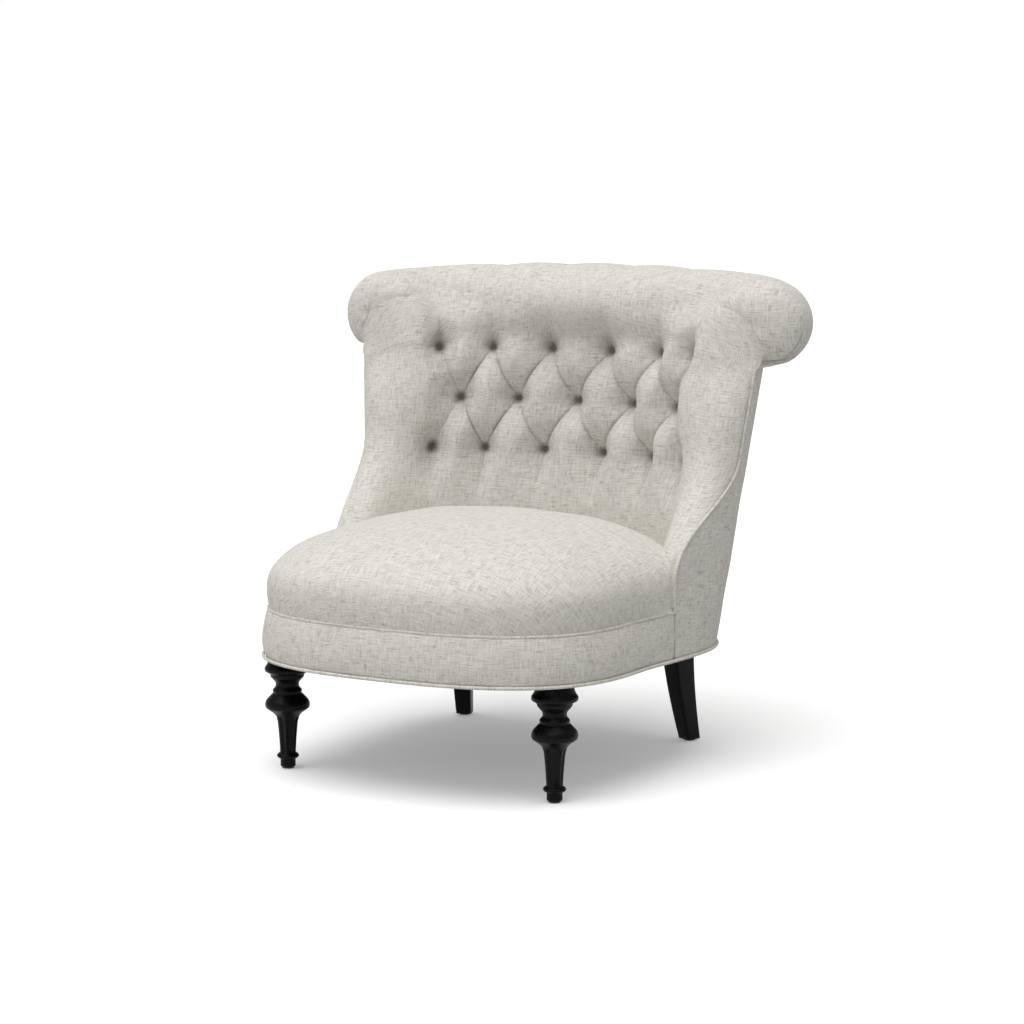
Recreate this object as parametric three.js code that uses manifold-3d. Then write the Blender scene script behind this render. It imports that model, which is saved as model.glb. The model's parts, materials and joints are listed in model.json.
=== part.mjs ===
// A slipper chair: a low upholstered chair with a tufted back that curls over into a thick roll,
// built as the real one is, from rails, springs, foam, covers, welts, buttons and black legs.
// Units are millimetres, +Z is up, +X is the sitter's left, and the seat's front looks along -Y.
import * as THREE from "three";
import { mergeVertices } from "three/addons/utils/BufferGeometryUtils.js";
import Module from "manifold-3d";

const wasm = await Module();
wasm.setup();
const degrees = THREE.MathUtils.degToRad;

// Clearances
const gap = 0.3; // between pieces that touch
const facetRoom = 1.5; // between two curved walls whose flats fall in different places
const overrun = 5; // how far a cutting tool runs past what it cuts
const weldDistance = 0.001; // below which two points of a solid are one

// Whole chair
const overallDepth = 804;
const rollOverhang = 129.5; // how far the roll reaches behind the base
const frontY = -overallDepth / 2;
const rearY = overallDepth / 2;

// Plan outline of the base, which is the centre line of its welt
const baseHalfWidth = 319;
const frontTaper = 13; // how much narrower each side is at the front
const frontCurveDepth = 250;
const rearCurveDepth = 234;
const frontRoundness = 2.7;
const rearRoundness = 2.4;
const baseWeltRadius = 3.5;
const frontHalfWidth = baseHalfWidth - frontTaper;
const frontCurveY = frontY + baseWeltRadius + frontCurveDepth;
const outlineRearY = rearY - rollOverhang;
const rearCurveY = outlineRearY - rearCurveDepth;

// Heights, each from the one below it
const legHeight = 178;
const glideHeight = 3;
const dustCoverThickness = 1.5;
const railHeight = 70;
const seatRise = 149; // seat's crown above the rails
const backRise = 376; // roll's top above the seat's crown
const middleRowRise = 152; // middle row of buttons above the seat's crown
const railBottomZ = legHeight + dustCoverThickness + gap;
const railTopZ = railBottomZ + railHeight;
const seatTopZ = railTopZ + seatRise;
const rollTopZ = seatTopZ + backRise;
const middleRowZ = seatTopZ + middleRowRise;

// Outside of the back
const rearLean = 0.16; // rearward travel per unit of height
const sideLean = 0.108;
const slopeStart = 76; // how far in front of the rear curve the lean starts
const slopeRun = 120;
const seamAhead = 74; // how far in front of the rear curve the side seam stands
const wingSweep = 108; // how far the wing's edge goes back above the seat
const wingSweepStart = 122; // height above the base where the sweep starts
const wingSweepEnd = 302;

// Roll: its centre line is a wide arc behind and a tight one forward each side
const rollBackTurn = degrees(13.4);
const rollBendRadius = 90;
const rollEndTurn = degrees(80);
const rollEndOut = 27; // how far outside the base each end's centre lies
const rollBreadth = 103; // half of the roll's horizontal thickness, then the same at its ends
const rollOuterBreadth = 80;
const rollInnerBreadth = 68;
const rollRise = 70; // half of its height
const rollEndRise = 72;
const rollDroop = 18; // how much lower the ends lie
const rollEndLength = 72; // length of each rounded end
const rollEndPower = 3; // how blunt the ends are
const rollCentreY = rearY - rollBreadth;
const rollCentreZ = rollTopZ - rollRise;
const rollEndBottomZ = rollCentreZ - rollDroop - rollEndRise;
const rollBendOut = rollBendRadius * (Math.sin(rollEndTurn) - Math.sin(rollBackTurn));
const rollBackRadius = (baseHalfWidth + rollEndOut - rollBendOut) / Math.sin(rollBackTurn);

// Tufted inside of the back: the buttons lie on an ellipse that leans
const tuftSideRoom = 19; // from the ellipse's end to the side of the base
const tuftHalfWidth = baseHalfWidth - tuftSideRoom;
const tuftCurve = 150;
const tuftRearRoom = 46.5;
const insideMiddleY = outlineRearY - tuftRearRoom;
const insideLean = 0.163;
const buttonTurn = degrees(21.2); // turn of the ellipse between neighbouring buttons
const rowSpacing = 83;
const padSpacingCount = 3; // button spacings from the centre to the wing's pad
const noseStartShare = 0.6; // of the wing's pad, beyond which it rounds into its nose
const noseStart = padSpacingCount + noseStartShare;
const wingEnd = padSpacingCount + 1; // where it meets its welt
const tuftCrown = 36;
const padReach = 34; // how far the nose swells in front of the welt
const padReachLow = 8;
const padReachNeck = 9;
const padTuck = 63; // how far the pad goes down below the seat's crown
const padInRoll = 20; // how far below the roll's centre the pad ends inside it
const neckDrop = 2; // how far the wing's welt ends below the roll
const coverBacking = 8; // cover and wadding behind the buttons
const padBottomZ = seatTopZ - padTuck;
const padTopZ = rollCentreZ - padInRoll;
const neckZ = rollEndBottomZ - neckDrop;

// Covers and welts
const coverThickness = 3;
const coverInset = 1.5;
const seatWeltRadius = 3.3;
const seatWeltInset = 12;
const seatWeltRise = 2.6; // underside of the seat welt above the rails
const wingWeltRadius = 3;
const seatWeltZ = railTopZ + seatWeltRise + seatWeltRadius;
const coverBottomZ = seatWeltZ + seatWeltRadius + gap;

// Frame
const boardThickness = 16;
const boardInset = 10;
const innerInset = boardInset + boardThickness;
const boardBelowRoll = 4;
const boardTopZ = rollEndBottomZ - boardBelowRoll;

// Legs
const frontLegInset = 37.1; // from the outline to the middle of the leg
const frontLegAlong = 165.5; // along the outline, from the start of the front curve
const rearLegInset = 38.8;
const rearLegAlong = 217.2; // along the outline, from the start of the rear curve
const rearLegTurn = degrees(20);
const rearLegRake = 29;
const boltRadius = 4;
const boltInLeg = 42;

const mix = THREE.MathUtils.lerp;
const smooth = (low, high, value) => THREE.MathUtils.smoothstep(value, low, high);
const corner = (value, power) => Math.sign(value) * Math.pow(Math.abs(value), 2 / power);

// The outline, by distance along it from the rear centre, which is positive on the left
function outlineCurve() {
  const points = [];
  const steps = 160;
  for (let i = 0; i <= steps; i++) {
    const turn = (i / steps) * (Math.PI / 2);
    points.push([baseHalfWidth * corner(Math.sin(turn), rearRoundness),
      rearCurveY + rearCurveDepth * corner(Math.cos(turn), rearRoundness)]);
  }
  for (let i = 1; i < steps; i++) {
    const ahead = i / steps;
    const x = mix(baseHalfWidth, frontHalfWidth, smooth(0, 1, ahead));
    points.push([x, mix(rearCurveY, frontCurveY, ahead)]);
  }
  for (let i = 0; i <= steps; i++) {
    const turn = (i / steps) * (Math.PI / 2);
    points.push([frontHalfWidth * corner(Math.cos(turn), frontRoundness),
      frontCurveY - frontCurveDepth * corner(Math.sin(turn), frontRoundness)]);
  }
  const lengths = [0];
  for (let i = 1; i < points.length; i++) {
    const [along, across] = [points[i][0] - points[i - 1][0], points[i][1] - points[i - 1][1]];
    lengths.push(lengths[i - 1] + Math.hypot(along, across));
  }
  const half = lengths[lengths.length - 1];
  function pointAt(distance) {
    const round = THREE.MathUtils.euclideanModulo(distance, 2 * half);
    const side = round > half ? -1 : 1;
    const along = side < 0 ? 2 * half - round : round;
    let [low, high] = [0, lengths.length - 1];
    while (high - low > 1) {
      const middle = Math.floor((low + high) / 2);
      if (lengths[middle] <= along) low = middle;
      else high = middle;
    }
    const share = (along - lengths[low]) / (lengths[high] - lengths[low]);
    return [side * mix(points[low][0], points[high][0], share), mix(points[low][1], points[high][1], share)];
  }
  const reach = half / steps;
  function at(distance) {
    const [x, y] = pointAt(distance);
    const [ax, ay] = pointAt(distance - reach);
    const [bx, by] = pointAt(distance + reach);
    const length = Math.hypot(bx - ax, by - ay);
    return { x, y, nx: (ay - by) / length, ny: (bx - ax) / length };
  }
  function distanceAtY(y) {
    let [low, high] = [lengths[Math.floor(steps / 2)], half];
    for (let i = 0; i < 40; i++) {
      const middle = (low + high) / 2;
      if (pointAt(middle)[1] > y) low = middle;
      else high = middle;
    }
    return low;
  }
  return { half, at, distanceAtY };
}
const outline = outlineCurve();
const frontLegPlace = outline.at(outline.distanceAtY(frontCurveY) + frontLegAlong);
const frontLegX = frontLegPlace.x - frontLegInset * frontLegPlace.nx;
const frontLegY = frontLegPlace.y - frontLegInset * frontLegPlace.ny;
const rearLegPlace = outline.at(outline.distanceAtY(rearCurveY) - rearLegAlong);
const rearLegX = rearLegPlace.x - rearLegInset * rearLegPlace.nx;
const rearLegY = rearLegPlace.y - rearLegInset * rearLegPlace.ny;

// A point on the outside of the chair, moved inward by an inset
function outside(distance, z, inset = 0) {
  const p = outline.at(distance);
  const lean = smooth(rearCurveY - slopeStart, rearCurveY - slopeStart + slopeRun, p.y) * (z - railBottomZ);
  return new THREE.Vector3(
    p.x - p.nx * inset + (lean * sideLean * p.x) / baseHalfWidth,
    p.y - p.ny * inset + lean * rearLean,
    z,
  );
}
// Distance of the side seam and of the wing's edge above it
function edgeDistance(z) {
  const sweep = smooth(railBottomZ + wingSweepStart, railBottomZ + wingSweepEnd, z);
  return outline.distanceAtY(rearCurveY - seamAhead + wingSweep * sweep);
}

// Solids from points
function solidFrom(positions, triangles) {
  const geometry = new THREE.BufferGeometry();
  geometry.setAttribute("position", new THREE.Float32BufferAttribute(positions, 3));
  geometry.setIndex(triangles);
  return facingOut(geometry);
}
function facingOut(geometry) {
  const places = geometry.getAttribute("position");
  const index = geometry.index.array;
  const [a, b, c] = [new THREE.Vector3(), new THREE.Vector3(), new THREE.Vector3()];
  let volume = 0;
  for (let i = 0; i < index.length; i += 3) {
    a.fromBufferAttribute(places, index[i]);
    b.fromBufferAttribute(places, index[i + 1]);
    c.fromBufferAttribute(places, index[i + 2]);
    volume += a.dot(b.cross(c));
  }
  if (volume < 0)
    for (let i = 0; i < index.length; i += 3) [index[i + 1], index[i + 2]] = [index[i + 2], index[i + 1]];
  return geometry;
}
// A closed solid between two sheets of columns by rows points, joined along their rims
function slab(columns, rows, near, far) {
  const positions = [];
  const triangles = [];
  for (const sheet of [near, far])
    for (let j = 0; j <= rows; j++)
      for (let i = 0; i <= columns; i++) positions.push(...sheet(i, j));
  const id = (side, i, j) => (side * (rows + 1) + j) * (columns + 1) + i;
  const quad = (a, b, c, d) => triangles.push(a, b, c, a, c, d);
  for (let j = 0; j < rows; j++)
    for (let i = 0; i < columns; i++) {
      quad(id(0, i, j), id(0, i + 1, j), id(0, i + 1, j + 1), id(0, i, j + 1));
      quad(id(1, i, j), id(1, i, j + 1), id(1, i + 1, j + 1), id(1, i + 1, j));
    }
  for (let i = 0; i < columns; i++) {
    quad(id(0, i + 1, 0), id(0, i, 0), id(1, i, 0), id(1, i + 1, 0));
    quad(id(0, i, rows), id(0, i + 1, rows), id(1, i + 1, rows), id(1, i, rows));
  }
  for (let j = 0; j < rows; j++) {
    quad(id(0, 0, j), id(0, 0, j + 1), id(1, 0, j + 1), id(1, 0, j));
    quad(id(0, columns, j + 1), id(0, columns, j), id(1, columns, j), id(1, columns, j + 1));
  }
  return solidFrom(positions, triangles);
}
// A closed solid of rings of points that ends in one point each way
function ringed(around, rings, pointAt, startPole, endPole) {
  const positions = [...startPole];
  const triangles = [];
  for (let j = 0; j < rings; j++)
    for (let i = 0; i < around; i++) positions.push(...pointAt(i, j));
  positions.push(...endPole);
  const id = (i, j) => 1 + j * around + (i % around);
  const last = 1 + rings * around;
  for (let i = 0; i < around; i++) {
    triangles.push(0, id(i + 1, 0), id(i, 0));
    triangles.push(last, id(i, rings - 1), id(i + 1, rings - 1));
    for (let j = 0; j < rings - 1; j++) {
      triangles.push(id(i, j), id(i + 1, j), id(i + 1, j + 1));
      triangles.push(id(i, j), id(i + 1, j + 1), id(i, j + 1));
    }
  }
  return solidFrom(positions, triangles);
}
function cylinder(radius, height, sides) {
  const upright = new THREE.CylinderGeometry(radius, radius, height, sides).rotateX(Math.PI / 2);
  return upright.translate(0, 0, height / 2);
}
function lathe(profile, sides) {
  const points = profile.map(([r, z]) => new THREE.Vector2(r, z));
  return new THREE.LatheGeometry(points, sides).rotateX(Math.PI / 2);
}
function tube(points, radius, sides, closed = false) {
  const section = new THREE.Shape();
  for (let i = 0; i < sides; i++) {
    const turn = ((i + 0.5) / sides) * 2 * Math.PI;
    if (i === 0) section.moveTo(radius * Math.cos(turn), radius * Math.sin(turn));
    else section.lineTo(radius * Math.cos(turn), radius * Math.sin(turn));
  }
  section.closePath();
  const steps = points.length - (closed ? 0 : 1);
  const extrudePath = new THREE.CatmullRomCurve3(points, closed);
  return new THREE.ExtrudeGeometry(section, { steps, extrudePath, bevelEnabled: false, curveSegments: 1 });
}

// Cutting one solid with others
function toManifold(geometry) {
  const bare = geometry.index ? geometry.toNonIndexed() : geometry;
  const places = new THREE.BufferGeometry().setAttribute("position", bare.getAttribute("position"));
  const merged = mergeVertices(places, weldDistance);
  return new wasm.Manifold(new wasm.Mesh({
    numProp: 3,
    vertProperties: merged.attributes.position.array,
    triVerts: new Uint32Array(merged.index.array),
  }));
}
function toGeometry(manifold) {
  const mesh = manifold.getMesh();
  const geometry = new THREE.BufferGeometry();
  geometry.setAttribute("position", new THREE.BufferAttribute(mesh.vertProperties.slice(), 3));
  geometry.setIndex(new THREE.BufferAttribute(mesh.triVerts.slice(), 1));
  return geometry;
}
// What is left of a solid after the cuts, without loose crumbs
function cut(geometry, ...tools) {
  const left = tools.reduce((solid, tool) => solid.subtract(toManifold(tool)), toManifold(geometry));
  return toGeometry(left.decompose().reduce((best, part) => (part.volume() > best.volume() ? part : best)));
}

// Finishes
const finish = (color, roughness, metalness = 0) =>
  new THREE.MeshStandardMaterial({ color, roughness, metalness });
const fabric = finish(0xc9c4b8, 0.92);
const blackWood = finish(0x0d0d0e, 0.4);
const timber = finish(0xb98f5f, 0.75);
const steel = finish(0x9a9da1, 0.35, 1);
const foam = finish(0xe7dcae, 0.95);
const burlap = finish(0xa78a5c, 0.95);
const cambric = finish(0x1c1c1e, 0.95);
const nylon = finish(0x2c2c2e, 0.5);

const chair = new THREE.Group();
function add(name, geometry, material) {
  const mesh = new THREE.Mesh(geometry, material);
  mesh.name = name;
  chair.add(mesh);
  return mesh;
}
const sides = [
  ["left", 1],
  ["right", -1],
];

// Glide: a nylon pad nailed under each foot
const glideRadius = 9.5;
const glideChamfer = 1;
const pinRadius = 1.4;
const pinLength = 12;
function glide() {
  return lathe([
    [0, 0],
    [glideRadius - glideChamfer, 0],
    [glideRadius, glideChamfer],
    [glideRadius, glideHeight - gap],
    [pinRadius, glideHeight - gap],
    [pinRadius, glideHeight + pinLength - pinRadius],
    [0, glideHeight + pinLength],
  ], 10);
}

// Front leg: turned, with a fluted tapered shaft. The shares are of the bulb's radius and the leg's height.
const bulbRadius = 35.2;
const footRadius = 11;
const fluteDepth = 1.4;
const fluteCount = 8;
const fluteSpanShares = [0.15, 0.48];
const turningShares = [
  [0.341, 0.028],
  [0.341, 0.082],
  [0.44, 0.096],
  [0.497, 0.112],
  [0.44, 0.132],
  [0.358, 0.146],
  [0.395, 0.281],
  [0.46, 0.416],
  [0.528, 0.466],
  [0.628, 0.494],
  [0.8, 0.52],
  [0.966, 0.545],
  [1, 0.576],
  [0.938, 0.612],
  [0.7, 0.663],
  [0.634, 0.674],
  [0.65, 0.702],
  [0.53, 0.733],
  [0.53, 0.77],
  [0.74, 0.82],
  [0.787, 0.848],
  [0.983, 0.871],
  [1, 0.899],
  [0.88, 0.938],
];
const legTopShare = 0.8;
function frontLeg() {
  const top = legHeight - gap;
  const profile = [
    [0, glideHeight + pinLength + gap],
    [pinRadius + gap, glideHeight + pinLength + gap],
    [pinRadius + gap, glideHeight],
    [footRadius, glideHeight],
    ...turningShares.map(([r, z]) => [r * bulbRadius, z * legHeight]),
    [legTopShare * bulbRadius, top],
    [boltRadius + gap, top],
    [boltRadius + gap, legHeight - boltInLeg],
    [0, legHeight - boltInLeg],
  ];
  const geometry = lathe(profile, 2 * fluteCount);
  const places = geometry.getAttribute("position");
  for (let i = 0; i < places.count; i++) {
    const p = new THREE.Vector3().fromBufferAttribute(places, i);
    const radius = Math.hypot(p.x, p.y);
    const [low, high] = fluteSpanShares.map((share) => share * legHeight);
    if (p.z < low || p.z > high || radius <= boltRadius + gap) continue;
    const depth = (fluteDepth * (1 + Math.cos(fluteCount * Math.atan2(p.y, p.x)))) / 2;
    places.setXYZ(i, p.x * (1 - depth / radius), p.y * (1 - depth / radius), p.z);
  }
  return geometry;
}

// Rear leg: square, tapered and swept back
const rearLegTopWidth = 40;
const rearLegTopDepth = 44;
const rearLegFootWidth = 26;
const rearLegFootDepth = 27;
const rearLegSweepPower = 1.6;
function rearLeg() {
  const rows = 7;
  const face = (away) => (i, j) => {
    const up = j / rows;
    const width = mix(rearLegFootWidth, rearLegTopWidth, up) / 2;
    const depth = mix(rearLegFootDepth, rearLegTopDepth, up) / 2;
    const sweep = rearLegRake * Math.pow(1 - up, rearLegSweepPower);
    const z = mix(glideHeight, legHeight - gap, up);
    return new THREE.Vector3(i === 0 ? -width : width, sweep + away * depth, z);
  };
  const boltHole = cylinder(boltRadius + gap, boltInLeg + overrun, 12).translate(0, 0, legHeight - boltInLeg);
  const pinHole = cylinder(pinRadius + gap, pinLength + gap + overrun, 8)
    .translate(0, rearLegRake, glideHeight - overrun);
  return cut(slab(1, rows, face(-1), face(1)), boltHole, pinHole);
}

// Hanger bolt: its screw end is in the leg, and its other end goes through the corner block to a nut
const blockHeight = 52;
const nutRadius = 6.5;
const nutHeight = 6.5;
const boltTip = 10;
const boltTipRadius = 2.5;
const boltEnd = 5;
function hangerBolt() {
  const nutZ = railBottomZ + blockHeight + gap;
  return lathe([
    [0, legHeight - boltInLeg + gap],
    [boltTipRadius, legHeight - boltInLeg + 2 * gap],
    [boltRadius, legHeight - boltInLeg + boltTip],
    [boltRadius, nutZ],
    [nutRadius, nutZ],
    [nutRadius, nutZ + nutHeight],
    [boltRadius, nutZ + nutHeight],
    [boltRadius, nutZ + nutHeight + boltEnd],
    [0, nutZ + nutHeight + boltEnd],
  ], 8);
}
function addLeg(place, pieces, x, y, turn) {
  for (const [name, geometry, material, footY] of pieces) {
    const mesh = add(name + place, geometry, material);
    mesh.position.set(x - footY * Math.sin(turn), y + footY * Math.cos(turn), 0);
    mesh.rotation.z = turn;
  }
}
for (const [side, sign] of sides) {
  addLeg(side, [
    ["front_leg_", frontLeg(), blackWood, 0],
    ["front_glide_", glide(), nylon, 0],
    ["front_bolt_", hangerBolt(), steel, 0],
  ], sign * frontLegX, frontLegY, 0);
  addLeg(side, [
    ["rear_leg_", rearLeg(), blackWood, 0],
    ["rear_glide_", glide(), nylon, rearLegRake],
    ["rear_bolt_", hangerBolt(), steel, 0],
  ], sign * rearLegX, rearLegY, -sign * rearLegTurn);
}

// Boards that follow the outside of the chair
function board(from, to, bottom, top, inset, thickness, columns, rows) {
  const face = (depth) => (i, j) => {
    const z = mix(bottom, top, j / rows);
    return outside(mix(from(z), to(z), i / columns), z, inset + depth);
  };
  return slab(columns, rows, face(thickness), face(0));
}
const fixed = (distance) => () => distance;
const around = (distance) => 2 * outline.half - distance;

// Seat rails
const frontJointBack = 60; // where the front rail ends, behind the front legs
const rearJointBack = 40; // where the rear rail ends, behind the start of the rear curve
const frontJoint = outline.distanceAtY(frontLegY + frontJointBack);
const rearJoint = outline.distanceAtY(rearCurveY + rearJointBack);
const rail = (from, to, columns) =>
  board(fixed(from), fixed(to), railBottomZ, railTopZ, boardInset, boardThickness, columns, 1);
add("front_rail", rail(frontJoint + gap, around(frontJoint + gap), 22), timber);
for (const [side, sign] of sides)
  add("side_rail_" + side, rail(sign * rearJoint, sign * frontJoint, 8), timber);
add("rear_rail", rail(gap - rearJoint, rearJoint - gap, 20), timber);

// Flat plates inside the outline
function plate(inset, bottom, top, corners) {
  const shape = new THREE.Shape();
  for (let i = 0; i < corners; i++) {
    const p = outside((i / corners) * 2 * outline.half, railBottomZ, inset);
    if (i === 0) shape.moveTo(p.x, p.y);
    else shape.lineTo(p.x, p.y);
  }
  shape.closePath();
  const flat = new THREE.ExtrudeGeometry(shape, { depth: top - bottom, bevelEnabled: false });
  return flat.translate(0, 0, bottom);
}

// Corner blocks, cut to the rails' inner faces and drilled for the hanger bolts
const blockRoom = 1;
const blockFlatCount = 120;
const blockReach = 100;
const blockFace = 34; // from the bolt to the block's long face
function cornerBlock(x, y, towardX, towardY) {
  const face = blockFace * Math.SQRT2;
  const top = railBottomZ + blockHeight;
  const wedge = new THREE.Shape();
  wedge.moveTo(x + towardX * blockReach, y + towardY * blockReach);
  wedge.lineTo(x + towardX * blockReach, y - towardY * (face + blockReach));
  wedge.lineTo(x - towardX * (face + blockReach), y + towardY * blockReach);
  wedge.closePath();
  const tall = { depth: blockHeight + 2 * overrun, bevelEnabled: false };
  const wedgeSolid = new THREE.ExtrudeGeometry(wedge, tall).translate(0, 0, railBottomZ - overrun);
  const inner = plate(innerInset + blockRoom, railBottomZ, top, blockFlatCount);
  const hole = cylinder(boltRadius + gap, blockHeight + 2 * overrun, 12);
  hole.translate(x, y, railBottomZ - overrun);
  return cut(toGeometry(toManifold(inner).intersect(toManifold(wedgeSolid))), hole);
}
for (const [side, sign] of sides) {
  add("front_block_" + side, cornerBlock(sign * frontLegX, frontLegY, sign, -1), timber);
  add("rear_block_" + side, cornerBlock(sign * rearLegX, rearLegY, sign, 1), timber);
}

// Frame of the back: wing boards, posts, tuck rail and top rail
const wingBoardSetback = 22; // behind the wing's edge
const wingBoardWidth = 46;
const wingBoardInset = 8;
const wingBoardThickness = 10;
const postSetback = 189.4; // along the outline, from the rear rail's joint
const postWidth = 60;
const tuckRailRise = 50; // above the seat rails
const tuckRailHeight = 46;
const topRailHeight = 62;
const wingFront = (z) => edgeDistance(z) - wingBoardSetback;
const wingBack = (z) => wingFront(z) - wingBoardWidth;
const postInner = rearJoint - postSetback - postWidth / 2;
for (const [side, sign] of sides) {
  add("wing_board_" + side, board((z) => sign * wingBack(z), (z) => sign * wingFront(z),
    railTopZ + gap, boardTopZ, wingBoardInset, wingBoardThickness, 2, 8), timber);
  add("rear_post_" + side, board(fixed(sign * postInner), fixed(sign * (postInner + postWidth)),
    railTopZ + gap, boardTopZ - topRailHeight - gap, boardInset, boardThickness, 3, 3), timber);
}
const tuckRailZ = railTopZ + tuckRailRise;
add("tuck_rail", board(fixed(gap - postInner), fixed(postInner - gap),
  tuckRailZ, tuckRailZ + tuckRailHeight, boardInset, boardThickness, 8, 1), timber);
add("top_rail", board((z) => gap - wingBack(z), (z) => wingBack(z) - gap,
  boardTopZ - topRailHeight, boardTopZ, boardInset, boardThickness, 24, 1), timber);

// Dust cover under the rails
const dustCoverInset = 4.2;
const boltPlaces = sides.flatMap(([, sign]) => [
  [sign * frontLegX, frontLegY],
  [sign * rearLegX, rearLegY],
]);
const dustCoverHoles = boltPlaces.map(([x, y]) =>
  cylinder(boltRadius + 2 * gap, dustCoverThickness + 2 * overrun, 8).translate(x, y, legHeight - overrun));
const dustCoverFlatCount = 48;
const dustCoverPlate = plate(dustCoverInset, legHeight, legHeight + dustCoverThickness, dustCoverFlatCount);
add("dust_cover", cut(dustCoverPlate, ...dustCoverHoles), cambric);

// Sinuous seat springs from the front rail to the rear rail, and the insulator pad that lies on them
const springWire = 2;
const springCount = 4;
const springSpacing = (2 * frontHalfWidth) / (springCount + 2.12);
const springSwing = 21;
const springWaveCount = 8;
const waveStepCount = 6;
const springZ = railTopZ + gap + springWire;
function railMiddleY(x, front) {
  let [low, high] = front ? [outline.half / 2, outline.half] : [0, outline.half / 2];
  for (let i = 0; i < 30; i++) {
    const middle = (low + high) / 2;
    if (outside(middle, railTopZ, boardInset + boardThickness / 2).x > x === front) low = middle;
    else high = middle;
  }
  return outside(low, railTopZ, boardInset + boardThickness / 2).y;
}
function spring(x) {
  const [from, to] = [railMiddleY(Math.abs(x), true), railMiddleY(Math.abs(x), false)];
  const steps = springWaveCount * waveStepCount;
  const points = [];
  for (let i = 0; i <= steps; i++) {
    const swing = springSwing * Math.sin((i / waveStepCount) * 2 * Math.PI);
    points.push(new THREE.Vector3(x + swing, mix(from, to, i / steps), springZ));
  }
  return tube(points, springWire, 4);
}
for (let i = 0; i < springCount; i++)
  add("seat_spring_" + (i + 1), spring((i - (springCount - 1) / 2) * springSpacing), steel);
const insulatorRoom = 1;
const insulatorFlatCount = 40;
const insulatorZ = springZ + springWire + gap;
const insulator = plate(innerInset + insulatorRoom, insulatorZ, coverBottomZ - gap, insulatorFlatCount);
add("seat_insulator", insulator, burlap);

// Places on the inside of the back. A column is counted in button spacings from the centre,
// a row in row spacings from the middle row, and depth is measured from the buttons toward the sitter.
const rowAt = (z) => (z - middleRowZ) / rowSpacing;
function insideBack(column, z, depth) {
  const [sine, cosine] = [Math.sin(buttonTurn * column), Math.cos(buttonTurn * column)];
  const inward = new THREE.Vector3(-sine / tuftHalfWidth, -cosine / tuftCurve, insideLean / tuftCurve);
  const y = insideMiddleY + insideLean * (z - middleRowZ) - tuftCurve * (1 - cosine);
  return new THREE.Vector3(tuftHalfWidth * sine, y, z).addScaledVector(inward.normalize(), depth);
}
// Share of the full crown: 0 at a button and 1 on top of a diamond
const creaseShare = 0.45;
const pleatShare = 0.8;
const sidePower = 0.6;
function tuftShare(column, row) {
  const last = Math.min(2 + Math.abs(row) / 2, 2.5);
  const held = THREE.MathUtils.clamp(column, -last, last);
  const bounded = THREE.MathUtils.clamp(row, -1, 1);
  const a = Math.abs(Math.sin(Math.PI * (held + bounded / 2)));
  const b = Math.abs(Math.sin(Math.PI * (held - bounded / 2)));
  const diamond = mix(Math.sqrt(a * b), Math.sqrt((a * a + b * b) / 2), creaseShare);
  const pleat = mix(diamond, 1, pleatShare * smooth(0, 1, Math.abs(row - bounded)));
  return mix(pleat, 1, Math.pow(smooth(0, 1, Math.abs(column - held)), sidePower));
}

// Pad of the inside back, which ends each side in a rounded nose beside the wing's welt
const weltRoom = 3 * wingWeltRadius;
const bendShare = 0.9;
const noseShare = 0.7;
const topShare = 0.08;
// Beyond the tufts the rows draw together under the roll, so that the wing ends at the neck
function wingHeight(column, z) {
  const share = (Math.abs(column) - padSpacingCount) / (noseStart - padSpacingCount);
  return z > neckZ ? neckZ + (z - neckZ) * mix(1, topShare, smooth(0, 1, share)) : z;
}
const wingEdge = (z, inset) => outside(edgeDistance(z) + weltRoom, z, inset);
function padFront(column, z, lift = 0) {
  const across = Math.min(Math.abs(column), padSpacingCount);
  const tufted = insideBack(across, z, tuftCrown * tuftShare(across, rowAt(z)) + lift);
  const mirror = new THREE.Vector3(Math.sign(column) || 1, 1, 1);
  if (Math.abs(column) <= padSpacingCount) return tufted.multiply(mirror);
  const low = wingHeight(column, z);
  const edge = wingEdge(low, coverThickness);
  const swell = mix(padReachLow, padReach, smooth(padBottomZ, middleRowZ - rowSpacing, low));
  const reach = mix(swell, padReachNeck, smooth(middleRowZ, neckZ, low)) + lift;
  const nose = new THREE.Vector3(edge.x - padReach, edge.y - reach, low);
  const beyond = (Math.abs(column) - padSpacingCount) / (noseStart - padSpacingCount);
  if (beyond > 1) {
    const turn = ((Math.abs(column) - noseStart) / (wingEnd - noseStart)) * (Math.PI / 2);
    const [x, y] = [mix(nose.x, edge.x, Math.sin(turn)), mix(edge.y, nose.y, Math.cos(turn))];
    return new THREE.Vector3(x, y, low).multiply(mirror);
  }
  const ahead = insideBack(across, z, tuftCrown).sub(insideBack(across - 0.01, z, tuftCrown)).normalize();
  const length = tufted.distanceTo(nose);
  const [first, second, third] = [beyond, beyond ** 2, beyond ** 3];
  const bent = tufted.clone().multiplyScalar(2 * third - 3 * second + 1)
    .addScaledVector(ahead, (third - 2 * second + first) * length * bendShare)
    .addScaledVector(nose, 3 * second - 2 * third)
    .addScaledVector(new THREE.Vector3(1, 0, 0), (third - second) * length * noseShare);
  return bent.setZ(mix(tufted.z, low, beyond)).multiply(mirror);
}
function padBack(column, z) {
  const behind = insideBack(Math.min(Math.abs(column), padSpacingCount), z, -coverBacking);
  const beyond = Math.max(0, Math.abs(column) - padSpacingCount) / (wingEnd - padSpacingCount);
  behind.lerp(wingEdge(wingHeight(column, z), coverThickness + boardInset), beyond);
  return behind.setX(behind.x * (Math.sign(column) || 1));
}
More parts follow.
